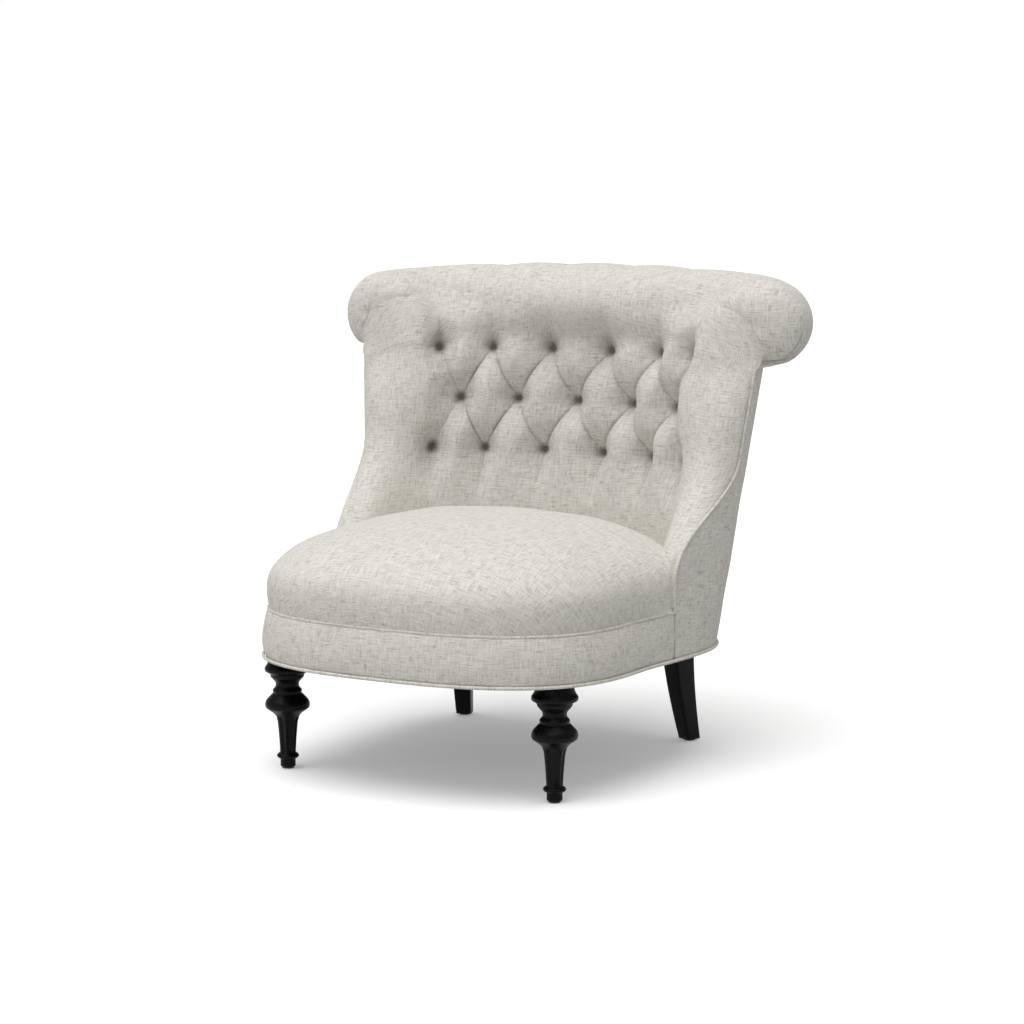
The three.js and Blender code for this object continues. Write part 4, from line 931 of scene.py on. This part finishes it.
# Band under the seat and the plain outside of the back
welt = {
    "base": 0.0027, "seat": 0.0024, "wing": 0.0026, "wingAhead": 0.0022, "wingInset": 0.0016,
    "seatInset": 0.0092, "seamInset": 0.0025, "intoRoll": 0.022, "room": 0.0015,
}
band = {
    "footInset": 0.0025, "topInset": 0.0088, "bulge": 0.0062, "thickness": 0.0105, "seamRoom": 0.0004,
    "wave": 0.0006, "columns": 300, "rows": 20,
}
cover = {
    "inset": 0.0015, "thickness": 0.003, "inRoll": 0.06, "topShare": 0.55, "seamRoom": 0.0003,
    "wave": 0.0005, "columns": 240, "rows": 90,
}


# Share by which the trimmings swing out beside the seams
def beside(distance):
    seam = float(edgeDistance(np.array(chair["seatWeltZ"])))
    away = np.minimum(distance - seam, 2 * outlineHalf - seam - distance)
    return 1 - smooth(0.0, 0.13, away)


def frontBand():
    share, along = np.meshgrid(np.linspace(0, 1, band["rows"]), np.linspace(0, 1, band["columns"]),
                               indexing="ij")
    z = mixed(chair["baseWeltZ"] + welt["room"], chair["seatWeltZ"], share)
    edge = edgeDistance(z) + band["seamRoom"]
    distance = mixed(edge, 2 * outlineHalf - edge, along)
    topInset = mixed(band["topInset"], cover["inset"], beside(distance))
    bulge = band["bulge"] * (1 - 0.8 * beside(distance)) * (4 * share * (1 - share)) ** 0.8
    swelled = mixed(band["footInset"], topInset, share) - bulge
    seam = np.minimum(distance - edge, 2 * outlineHalf - edge - distance)
    swelled = swelled + 0.002 * np.exp(-seam / 0.004)
    swelled = swelled + band["wave"] * slow(distance * 1.4, z * 3)
    near = outside(distance, z, swelled)
    far = outside(distance, z, band["thickness"])
    return closedSlab("frontBand", near, far, stacked(distance, z))


def outsideCover():
    share, up = np.meshgrid(np.linspace(-1, 1, cover["columns"]), np.linspace(0, 1, cover["rows"]))
    atEnds = smooth(cover["topShare"], 1, np.abs(share))
    top = mixed(roll["centreZ"] - cover["inRoll"], chair["neckZ"] + welt["intoRoll"], atEnds)
    z = mixed(chair["baseWeltZ"] + welt["room"], top, up)
    distance = share * (edgeDistance(z) - cover["seamRoom"])
    inset = cover["inset"] + cover["wave"] * slow(distance, z * 1.5) * smooth(0, 0.1, up)
    near = outside(distance, z, inset)
    far = outside(distance, z, cover["inset"] + cover["thickness"])
    return closedSlab("outsideCover", near, far, stacked(distance, z))


# Dust cover: thin black cloth with a hem, tacked under the rails, which hangs a little in the middle
dust = {
    "inset": 0.0045, "z": 0.1783, "thickness": 0.0008, "sag": 0.004, "sagFrom": 0.72, "ripple": 0.0006,
    "hem": 0.0003, "hemShare": 0.955, "columns": 240, "rings": 40, "tackInset": 0.013, "tackPitch": 0.042,
    "tackLength": 0.011, "tackWire": 0.0007,
}


def dustCover():
    distance, share = np.meshgrid(np.linspace(0, 2 * outlineHalf, dust["columns"], endpoint=False),
                                  np.linspace(1, 0, dust["rings"] + 1)[:-1])
    rim = outside(distance, np.full_like(distance, dust["z"]), dust["inset"])
    x, y = rim[..., 0] * share, rim[..., 1] * share
    inward = 1 - smooth(0, dust["sagFrom"], share)
    ripple = dust["ripple"] * slow(x * 1.6, y * 1.6) * smooth(0.2, 0.6, inward)
    low = dust["z"] - dust["sag"] * inward + ripple
    high = low + dust["thickness"] + dust["hem"] * (share > dust["hemShare"])
    rings, count = share.shape
    points = np.concatenate([stacked(x, y, high)[::-1], stacked(x, y, low)])
    lowest = dust["z"] - dust["sag"]
    points = np.concatenate([points.reshape(-1, 3), [[0, 0, lowest + dust["thickness"]], [0, 0, lowest]]])
    return faceOutward(makeMesh("dustCover", points, ringFaces(2 * rings, count), points[:, :2]))


bandPiece = frontBand()
coverPiece = outsideCover()
dustPiece = dustCover()
for piece in (bandPiece, coverPiece):
    piece.data.materials.append(linenCloth)
print("band and outside made")


# Geometry Nodes: small helpers, then welts that follow their seams
def newTree(name, inputs):
    tree = bpy.data.node_groups.new(name, "GeometryNodeTree")
    tree.interface.new_socket("Geometry", in_out="INPUT", socket_type="NodeSocketGeometry")
    for label, kind, value in inputs:
        socket = tree.interface.new_socket(label, in_out="INPUT", socket_type=kind)
        if value is not None:
            socket.default_value = value
    tree.interface.new_socket("Geometry", in_out="OUTPUT", socket_type="NodeSocketGeometry")
    return tree, tree.nodes.new("NodeGroupInput"), tree.nodes.new("NodeGroupOutput")


def treeNode(tree, kind, settings=None, sockets=None):
    node = tree.nodes.new(kind)
    for name, value in (settings or {}).items():
        setattr(node, name, value)
    for name, value in (sockets or {}).items():
        if isinstance(value, bpy.types.NodeSocket):
            tree.links.new(value, node.inputs[name])
        else:
            node.inputs[name].default_value = value
    return node


def applyTree(source, name, tree, values):
    modifier = source.modifiers.new(name, "NODES")
    modifier.node_group = tree
    for item in tree.interface.items_tree:
        if item.item_type == "SOCKET" and item.in_out == "INPUT" and item.name in values:
            modifier[item.identifier] = values[item.name]
    source.update_tag()
    evaluated = source.evaluated_get(bpy.context.evaluated_depsgraph_get())
    mesh = bpy.data.meshes.new_from_object(evaluated)
    mesh.name = name
    piece = addObject(name, mesh)
    source.modifiers.remove(modifier)
    bpy.data.objects.remove(source)
    return piece


def endTree(tree, result, geometry, material):
    real = treeNode(tree, "GeometryNodeRealizeInstances", None, {"Geometry": geometry})
    coloured = treeNode(tree, "GeometryNodeSetMaterial", None,
                        {"Geometry": real.outputs["Geometry"], "Material": material})
    tree.links.new(coloured.outputs["Geometry"], result.inputs["Geometry"])
    return tree


# Keeps the length along a curve, for the weave
def lengthKept(tree, curve, label):
    length = treeNode(tree, "GeometryNodeSplineParameter")
    kept = treeNode(tree, "GeometryNodeCaptureAttribute")
    kept.capture_items.new("FLOAT", label)
    tree.links.new(curve.outputs["Curve"], kept.inputs["Geometry"])
    tree.links.new(length.outputs["Length"], kept.inputs[label])
    return kept.outputs["Geometry"], kept.outputs[label]


# Copies of a shape on the source's points, each turned the way its point faces
def copiesFacing(tree, given, shape, axis):
    facing = treeNode(tree, "GeometryNodeInputNamedAttribute", {"data_type": "FLOAT_VECTOR"},
                      {"Name": "facing"})
    turned = treeNode(tree, "FunctionNodeAlignRotationToVector", {"axis": axis},
                      {"Vector": facing.outputs["Attribute"]})
    placed = treeNode(tree, "GeometryNodeInstanceOnPoints", None, {
        "Points": given.outputs["Geometry"], "Instance": shape, "Rotation": turned.outputs["Rotation"]})
    return placed.outputs["Instances"]


def weltTree():
    tree, given, result = newTree("weltTree", [
        ("Radius", "NodeSocketFloat", 0.0033), ("Sides", "NodeSocketInt", 14),
        ("Cloth", "NodeSocketMaterial", None)])
    path = treeNode(tree, "GeometryNodeMeshToCurve", None, {"Mesh": given.outputs["Geometry"]})
    pathCurve, along = lengthKept(tree, path, "Along")
    ring = treeNode(tree, "GeometryNodeCurvePrimitiveCircle", None,
                    {"Resolution": given.outputs["Sides"], "Radius": given.outputs["Radius"]})
    ringCurve, around = lengthKept(tree, ring, "Around")
    skin = treeNode(tree, "GeometryNodeCurveToMesh", None,
                    {"Curve": pathCurve, "Profile Curve": ringCurve, "Fill Caps": True})
    weave = treeNode(tree, "ShaderNodeCombineXYZ", None, {"X": along, "Y": around})
    stored = treeNode(tree, "GeometryNodeStoreNamedAttribute",
                      {"data_type": "FLOAT2", "domain": "CORNER"},
                      {"Geometry": skin.outputs["Mesh"], "Name": "UVMap", "Value": weave.outputs["Vector"]})
    smoothed = treeNode(tree, "GeometryNodeSetShadeSmooth", None, {"Geometry": stored.outputs["Geometry"]})
    return endTree(tree, result, smoothed.outputs["Geometry"], given.outputs["Cloth"])


def pathObject(name, points, closed=False):
    mesh = bpy.data.meshes.new(name)
    edges = [(i, i + 1) for i in range(len(points) - 1)]
    if closed:
        edges.append((len(points) - 1, 0))
    mesh.from_pydata(points.tolist(), edges, [])
    return addObject(name, mesh)


def pointsFacing(name, places, facings):
    mesh = bpy.data.meshes.new(name)
    mesh.from_pydata(places, [], [])
    facing = mesh.attributes.new("facing", "FLOAT_VECTOR", "POINT")
    facing.data.foreach_set("vector", np.array(facings).ravel())
    return addObject(name, mesh)


welts = weltTree()
baseRound = outside(np.linspace(0, 2 * outlineHalf, 420, endpoint=False), chair["baseWeltZ"])
seatEdge = float(edgeDistance(np.array(chair["seatWeltZ"])))
seatTurn = np.linspace(seatEdge, 2 * outlineHalf - seatEdge, 300)
seatInset = mixed(welt["seatInset"], welt["seamInset"], beside(seatTurn))
wingHeights = np.linspace(chair["seatWeltZ"], chair["neckZ"] + welt["intoRoll"], 160)
wingPath = edgeDistance(wingHeights) + welt["wingAhead"]


def weltAlong(name, points, radius, closed=False):
    path = pathObject(name + "Path", points, closed)
    return applyTree(path, name, welts, {"Radius": radius, "Cloth": linenCloth})


weltPieces = {
    "base_welt": weltAlong("baseWelt", baseRound, welt["base"], True),
    "seat_welt": weltAlong("seatWelt", outside(seatTurn, chair["seatWeltZ"], seatInset), welt["seat"]),
}
for side, path in (("Left", wingPath), ("Right", -wingPath)):
    points = outside(path, wingHeights, welt["wingInset"])
    weltPieces["wing_welt_" + side.lower()] = weltAlong("wingWelt" + side, points, welt["wing"])
print("welts made")

# Covered buttons
button = {
    # dark: painted shade on the buttons, which sit deep in their pits
    "depth": -0.0108, "dark": 0.8, "radius": 0.0064, "dome": 0.003, "lift": 0.0012,
    "shank": 0.0014, "crimp": 0.025, "crimps": 7, "rings": 9, "sides": 28,
}


def buttonTree():
    tree, given, result = newTree("buttonTree", [
        ("Button", "NodeSocketObject", None), ("Cloth", "NodeSocketMaterial", None)])
    shape = treeNode(tree, "GeometryNodeObjectInfo", None, {"Object": given.outputs["Button"]})
    copies = copiesFacing(tree, given, shape.outputs["Geometry"], "Z")
    return endTree(tree, result, copies, given.outputs["Cloth"])


def buttonShape():
    profile = [(0.0, 0.0), (button["shank"], 0.0002), (button["shank"], button["lift"] * 0.5),
               (button["radius"] * 0.8, button["lift"] * 0.6)]
    for turn in np.linspace(-0.6, math.pi / 2, button["rings"]):
        profile.append((button["radius"] * math.cos(turn) ** 0.8,
                        button["lift"] + button["dome"] * (0.3 + 0.7 * math.sin(turn))))
    profile[-1] = (0.0, profile[-1][1])
    points, uv = [[0, 0, profile[0][1]]], [[0, 0]]
    for radius, z in profile[1:-1]:
        for i in range(button["sides"]):
            angle = 2 * math.pi * i / button["sides"]
            crimp = button["crimp"] * math.cos(button["crimps"] * angle)
            crimp = 1 + crimp * (radius > 0.7 * button["radius"])
            points.append([radius * crimp * math.cos(angle), radius * crimp * math.sin(angle), z])
            uv.append([radius * math.cos(angle), radius * math.sin(angle)])
    points.append([0, 0, profile[-1][1]])
    uv.append([0, 0])
    rings = len(profile) - 2
    faces = []
    for i in range(button["sides"]):
        nextOne = (i + 1) % button["sides"]
        faces.append([0, 1 + nextOne, 1 + i])
        for j in range(rings - 1):
            low, high = 1 + j * button["sides"], 1 + (j + 1) * button["sides"]
            faces.append([low + i, low + nextOne, high + nextOne, high + i])
        top = 1 + (rings - 1) * button["sides"]
        faces.append([top + i, top + nextOne, len(points) - 1])
    return faceOutward(makeMesh("buttonShape", np.array(points), faces, np.array(uv)))


def coveredButtons():
    places, facings = [], []
    for row, count in ((1, 6), (0, 5), (-1, 6)):
        for i in range(count):
            column = i - (count - 1) / 2
            z = chair["middleRowZ"] + row * back["rowSpacing"]
            foot, inward = insideBack(np.array(column), np.array(z), np.array(button["depth"]))
            places.append(foot.tolist())
            facings.append(inward.tolist())
    source = pointsFacing("buttonPlaces", places, facings)
    shape = buttonShape()
    piece = applyTree(source, "coveredButtons", buttonTree(), {"Button": shape, "Cloth": linenCloth})
    # The buttons get painted shade, as they sit deep in their pits
    setPaintedShade(piece, np.full(len(piece.data.vertices), button["dark"]))
    bpy.data.objects.remove(shape)
    return piece


buttonPiece = coveredButtons()
print("buttons made")

# Legs
leg = {
    "bulbRadius": 0.0352, "height": 0.178, "sides": 96, "flutes": 8, "fluteDepth": 0.0026,
    "fluteSpan": (0.15, 0.48), "frontX": 0.239, "frontY": -0.2855, "slope": 0.28,
    "rearX": 0.205, "rearY": 0.19, "rearTurn": math.radians(20), "rearSweep": 0.029, "sweepPower": 1.6,
    "rearWidth": (0.026, 0.040), "rearDepth": (0.027, 0.044), "rearHeight": (0.003, 0.1777),
    "squareness": 9,
    "profile": [(0.312, 0.0169), (0.341, 0.028), (0.341, 0.082), (0.44, 0.096), (0.497, 0.112),
                (0.44, 0.132), (0.358, 0.146), (0.395, 0.281), (0.46, 0.416), (0.528, 0.466),
                (0.628, 0.494), (0.8, 0.52), (0.966, 0.545), (1.0, 0.576), (0.938, 0.612),
                (0.7, 0.663), (0.634, 0.674), (0.65, 0.702), (0.53, 0.733), (0.53, 0.77),
                (0.74, 0.82), (0.787, 0.848), (0.983, 0.871), (1.0, 0.899), (0.88, 0.938),
                (0.8, 0.998)],
}


def woodMaterial():
    shader = Shader("blackWood")
    place = shader.place()
    grain = shader.noise(place, (160, 160, 14), 4.0, 0.6)
    pores = shader.noise(place, (900, 900, 60), 2.0)
    wear = shader.noise(place, (38, 38, 30), 3.0)
    tone = shader.mixColor(grain.between(0.35, 0.7), (0.0012, 0.0012, 0.0013), (0.0045, 0.0043, 0.0042))
    rough = 0.3 + wear.between(0.3, 0.7) * 0.12 + pores.between(0.5, 0.75) * 0.1
    return shader.finish({"Base Color": tone, "Roughness": rough, "Specular IOR Level": 0.11},
                         grain * 0.6 + pores * 0.4, 0.4, 0.0005)


blackWood = woodMaterial()


# Turned leg: the profile is drawn as radius and height, as shares of the bulb's and the leg's
def frontLeg(name, x):
    profile = np.array([(r * leg["bulbRadius"], z * leg["height"]) for r, z in leg["profile"]])
    fine = []
    for k in range(len(profile) - 1):
        before, after = profile[max(0, k - 1)], profile[min(len(profile) - 1, k + 2)]
        slopeA, slopeB = (profile[k + 1] - before) * leg["slope"], (after - profile[k]) * leg["slope"]
        for t in np.linspace(0, 1, 5)[:-1]:
            fine.append(cubic(profile[k], slopeA, profile[k + 1], slopeB, t))
    fine.append(profile[-1])
    fine = np.array(fine)
    angle = np.linspace(0, 2 * math.pi, leg["sides"], endpoint=False)
    low, high = (share * leg["height"] for share in leg["fluteSpan"])
    radius, turn = np.meshgrid(fine[:, 0], angle, indexing="ij")
    z = np.repeat(fine[:, 1][:, None], len(angle), axis=1)
    span = smooth(low - 0.001, low + 0.004, z) * (1 - smooth(high - 0.004, high + 0.001, z))
    radius = radius - span * leg["fluteDepth"] * ((1 + np.cos(leg["flutes"] * turn)) / 2) ** 0.6
    points = stacked(x + radius * np.cos(turn), leg["frontY"] + radius * np.sin(turn), z)
    return cappedPiece(name, points, stacked(turn * 0.03, z))


# Square leg, tapered downward and swept back
def rearLeg(name, sign):
    angle = np.linspace(0, 2 * math.pi, 48, endpoint=False)
    up, around = np.meshgrid(np.linspace(0, 1, 30), angle, indexing="ij")
    width, depth = mixed(*leg["rearWidth"], up) / 2, mixed(*leg["rearDepth"], up) / 2
    sweep = leg["rearSweep"] * (1 - up) ** leg["sweepPower"]
    localX = width * rounded(np.cos(around), leg["squareness"])
    localY = sweep + depth * rounded(np.sin(around), leg["squareness"])
    cosine, sine = math.cos(leg["rearTurn"]), -sign * math.sin(leg["rearTurn"])
    x = sign * leg["rearX"] + localX * cosine - localY * sine
    y = leg["rearY"] + localX * sine + localY * cosine
    points = stacked(x, y, mixed(*leg["rearHeight"], up))
    return cappedPiece(name, points, stacked(around * 0.02, up * 0.17))


legPieces = {
    "front_leg_left": frontLeg("frontLegLeft", leg["frontX"]),
    "front_leg_right": frontLeg("frontLegRight", -leg["frontX"]),
    "rear_leg_left": rearLeg("rearLegLeft", 1),
    "rear_leg_right": rearLeg("rearLegRight", -1),
}
for piece in legPieces.values():
    piece.data.materials.append(blackWood)
print("legs made")


# Finishes of the CAD nodes that stay
grained = {
    "timber": {
        "scale": (9, 9, 160), "noise": (5.0, 0.6, 0.4), "range": (0.3, 0.7),
        "roughness": 0.7, "spread": 0.15,
        "low": (0.42, 0.27, 0.14), "high": (0.62, 0.45, 0.27), "relief": (0.3, 0.0005)},
    "steel": {
        "scale": (300, 300, 300), "noise": (3.0,), "metal": 1.0, "roughness": 0.28, "spread": 0.2,
        "low": (0.42, 0.43, 0.45), "high": (0.6, 0.61, 0.63), "relief": (0.1, 0.0002)},
    "foam": {
        "scale": (700, 700, 700), "noise": (2.0,), "range": (0.3, 0.7), "roughness": 0.95,
        "low": (0.68, 0.6, 0.36), "high": (0.85, 0.79, 0.56), "relief": (0.5, 0.001)},
    "nylon": {
        "scale": (260, 260, 90), "noise": (3.0,), "roughness": 0.4, "spread": 0.25,
        "low": (0.012, 0.012, 0.013), "high": (0.03, 0.03, 0.032), "relief": (0.15, 0.0003)},
}
woven = {
    "burlap": {"low": (0.3, 0.21, 0.1), "high": (0.52, 0.4, 0.22), "pitch": 1800, "roughness": 0.95},
    "cambric": {
        "low": (0.006, 0.006, 0.007), "high": (0.02, 0.02, 0.022), "pitch": 4200, "roughness": 0.9},
}


def grainedMaterial(name, look):
    shader = Shader(name)
    grain = shader.noise(shader.place(), look["scale"], *look["noise"])
    share = grain.between(*look["range"]) if "range" in look else grain
    rough = grain * look["spread"] + look["roughness"] if "spread" in look else look["roughness"]
    return shader.finish({
        "Base Color": shader.mixColor(share, look["low"], look["high"]),
        "Metallic": look.get("metal", 0.0), "Roughness": rough}, grain, *look["relief"])


def wovenMaterial(name, look):
    shader = Shader(name)
    place = shader.place()
    weave = shader.plainWeave(place, (look["pitch"], look["pitch"], look["pitch"]))
    fuzz = shader.noise(place, (420, 420, 420), 3.0)
    tone = shader.mixColor((weave * 0.25 + fuzz).between(0.2, 0.8), look["low"], look["high"])
    return shader.finish({"Base Color": tone, "Roughness": look["roughness"]},
                         weave * 0.5 + fuzz, 0.4, 0.0006)


finishes = {"black_wood": blackWood, "linen": linenCloth}
for slot, look in grained.items():
    finishes[slot] = grainedMaterial(slot + "Finish", look)
for slot, look in woven.items():
    finishes[slot] = wovenMaterial(slot + "Finish", look)
slotOf = {entry["node"]: entry["material_slot"] for entry in frame["record"]["subparts"]}
for name, node in frame["nodes"].items():
    node.data.materials.clear()
    node.data.materials.append(finishes[slotOf[name]])
dustPiece.data.materials.append(finishes["cambric"])
print("finishes set")


# Staples along the dust cover's hem
def stapleTree():
    tree, given, result = newTree("stapleTree", [
        ("Length", "NodeSocketFloat", 0.01), ("Wire", "NodeSocketFloat", 0.0006),
        ("Metal", "NodeSocketMaterial", None)])
    end = treeNode(tree, "ShaderNodeCombineXYZ", None, {"X": given.outputs["Length"]})
    crown = treeNode(tree, "GeometryNodeCurvePrimitiveLine", None, {"End": end.outputs["Vector"]})
    section = treeNode(tree, "GeometryNodeCurvePrimitiveCircle", None,
                       {"Resolution": 8, "Radius": given.outputs["Wire"]})
    wire = treeNode(tree, "GeometryNodeCurveToMesh", None, {
        "Curve": crown.outputs["Curve"], "Profile Curve": section.outputs["Curve"], "Fill Caps": True})
    copies = copiesFacing(tree, given, wire.outputs["Mesh"], "X")
    return endTree(tree, result, copies, given.outputs["Metal"])


def dustStaples():
    along = np.linspace(0, 2 * outlineHalf, round(2 * outlineHalf / dust["tackPitch"]), endpoint=False)
    height = np.full_like(along, dust["z"] - 0.0002)
    places = outside(along, height, dust["tackInset"])
    onward = outside(along + 0.004, height, dust["tackInset"])
    source = pointsFacing("staplePlaces", places.tolist(), unit(onward - places))
    return applyTree(source, "dustStaples", stapleTree(), {
        "Length": dust["tackLength"], "Wire": dust["tackWire"], "Metal": finishes["steel"]})


staplePiece = dustStaples()
print("staples made")

# What each piece stands for, and what it rides on
buttonNodes = [f"button_{row}_{i + 1}" for row, count in (("top", 6), ("middle", 5), ("bottom", 6))
               for i in range(count)]
standsFor = [
    (tufted, ["inside_back"]), (rollPiece, ["back_roll"]), (seatPiece, ["seat_cover"]),
    (bandPiece, ["seat_band"]), (coverPiece, ["outside_back"]),
    *[(piece, [node]) for node, piece in weltPieces.items()],
    (buttonPiece, buttonNodes),
]
for piece, nodes in standsFor:
    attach(piece, "root")
    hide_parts(*nodes)
for node, piece in legPieces.items():
    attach(piece, "root")
    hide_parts(node)
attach(dustPiece, "root")
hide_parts("dust_cover")
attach(staplePiece, "root")

# Floor, light and camera
stage = {
    "floorSize": 60.0, "floorSeen": 0.86, "floorBounce": 0.5, "floorGlow": 0.24, "worldStrength": 0.42,
    "keyStrength": 2.05, "keySoftness": math.radians(60), "keyFrom": (-0.12, -0.55, 2.6),
    "fillStrength": 0.58, "fillSoftness": math.radians(80), "fillFrom": (-0.7, -2.6, 1.6),
}


# The floor looks paler to the camera than its bounce on to the chair
def floorMaterial():
    shader = Shader("floorFinish")
    path = shader.node("ShaderNodeLightPath")
    seen = path["Is Camera Ray"].maths("MAXIMUM", path["Is Glossy Ray"])
    seen = seen.maths("MAXIMUM", path["Is Transmission Ray"])
    tone = shader.grey(seen * (stage["floorSeen"] - stage["floorBounce"]) + stage["floorBounce"])
    return shader.finish({
        "Base Color": tone, "Roughness": 1.0, "Specular IOR Level": 0.0,
        "Emission Color": shader.grey(seen * stage["floorGlow"]), "Emission Strength": 1.0})


half = stage["floorSize"] / 2
floorMesh = bpy.data.meshes.new("floor")
floorMesh.from_pydata([(-half, -half, 0), (half, -half, 0), (half, half, 0), (-half, half, 0)], [],
                      [(0, 1, 2, 3)])
floorMesh.materials.append(floorMaterial())
floor = addObject("floor", floorMesh)

world = bpy.data.worlds.new("studio")
bpy.context.scene.world = world
world.use_nodes = True
worldNodes, worldLinks = world.node_tree.nodes, world.node_tree.links
worldNodes.clear()
lightPath = worldNodes.new("ShaderNodeLightPath")
sky = worldNodes.new("ShaderNodeBackground")
backdrop = worldNodes.new("ShaderNodeBackground")
sky.inputs["Strength"].default_value = stage["worldStrength"]
backdrop.inputs["Strength"].default_value = 1.0
for background in (sky, backdrop):
    background.inputs["Color"].default_value = (1, 1, 1, 1)
choice = worldNodes.new("ShaderNodeMixShader")
worldOutput = worldNodes.new("ShaderNodeOutputWorld")
worldLinks.new(lightPath.outputs["Is Camera Ray"], choice.inputs[0])
worldLinks.new(sky.outputs[0], choice.inputs[1])
worldLinks.new(backdrop.outputs[0], choice.inputs[2])
worldLinks.new(choice.outputs[0], worldOutput.inputs["Surface"])


def aim(holder, place, forward):
    holder.location = place
    holder.rotation_mode = "QUATERNION"
    holder.rotation_quaternion = Vector(forward).to_track_quat("-Z", "Y")


def softLamp(name, strength, softness, place):
    lamp = bpy.data.lights.new(name, "SUN")
    lamp.energy = strength
    lamp.angle = softness
    aim(addObject(name, lamp), place, -Vector(place))


softLamp("keyLamp", stage["keyStrength"], stage["keySoftness"], stage["keyFrom"])
softLamp("fillLamp", stage["fillStrength"], stage["fillSoftness"], stage["fillFrom"])

view = {"place": (2.24005, -3.91431, 0.97211), "forward": (-0.4921, 0.8610, -0.1284), "lens": 100.0}
cameraData = bpy.data.cameras.new("camera")
cameraData.lens = view["lens"]
cameraData.sensor_width = 36.0
camera = addObject("camera", cameraData)
aim(camera, view["place"], view["forward"])
bpy.context.scene.camera = camera
bpy.context.scene.view_settings.view_transform = "Standard"

print("all pieces made")
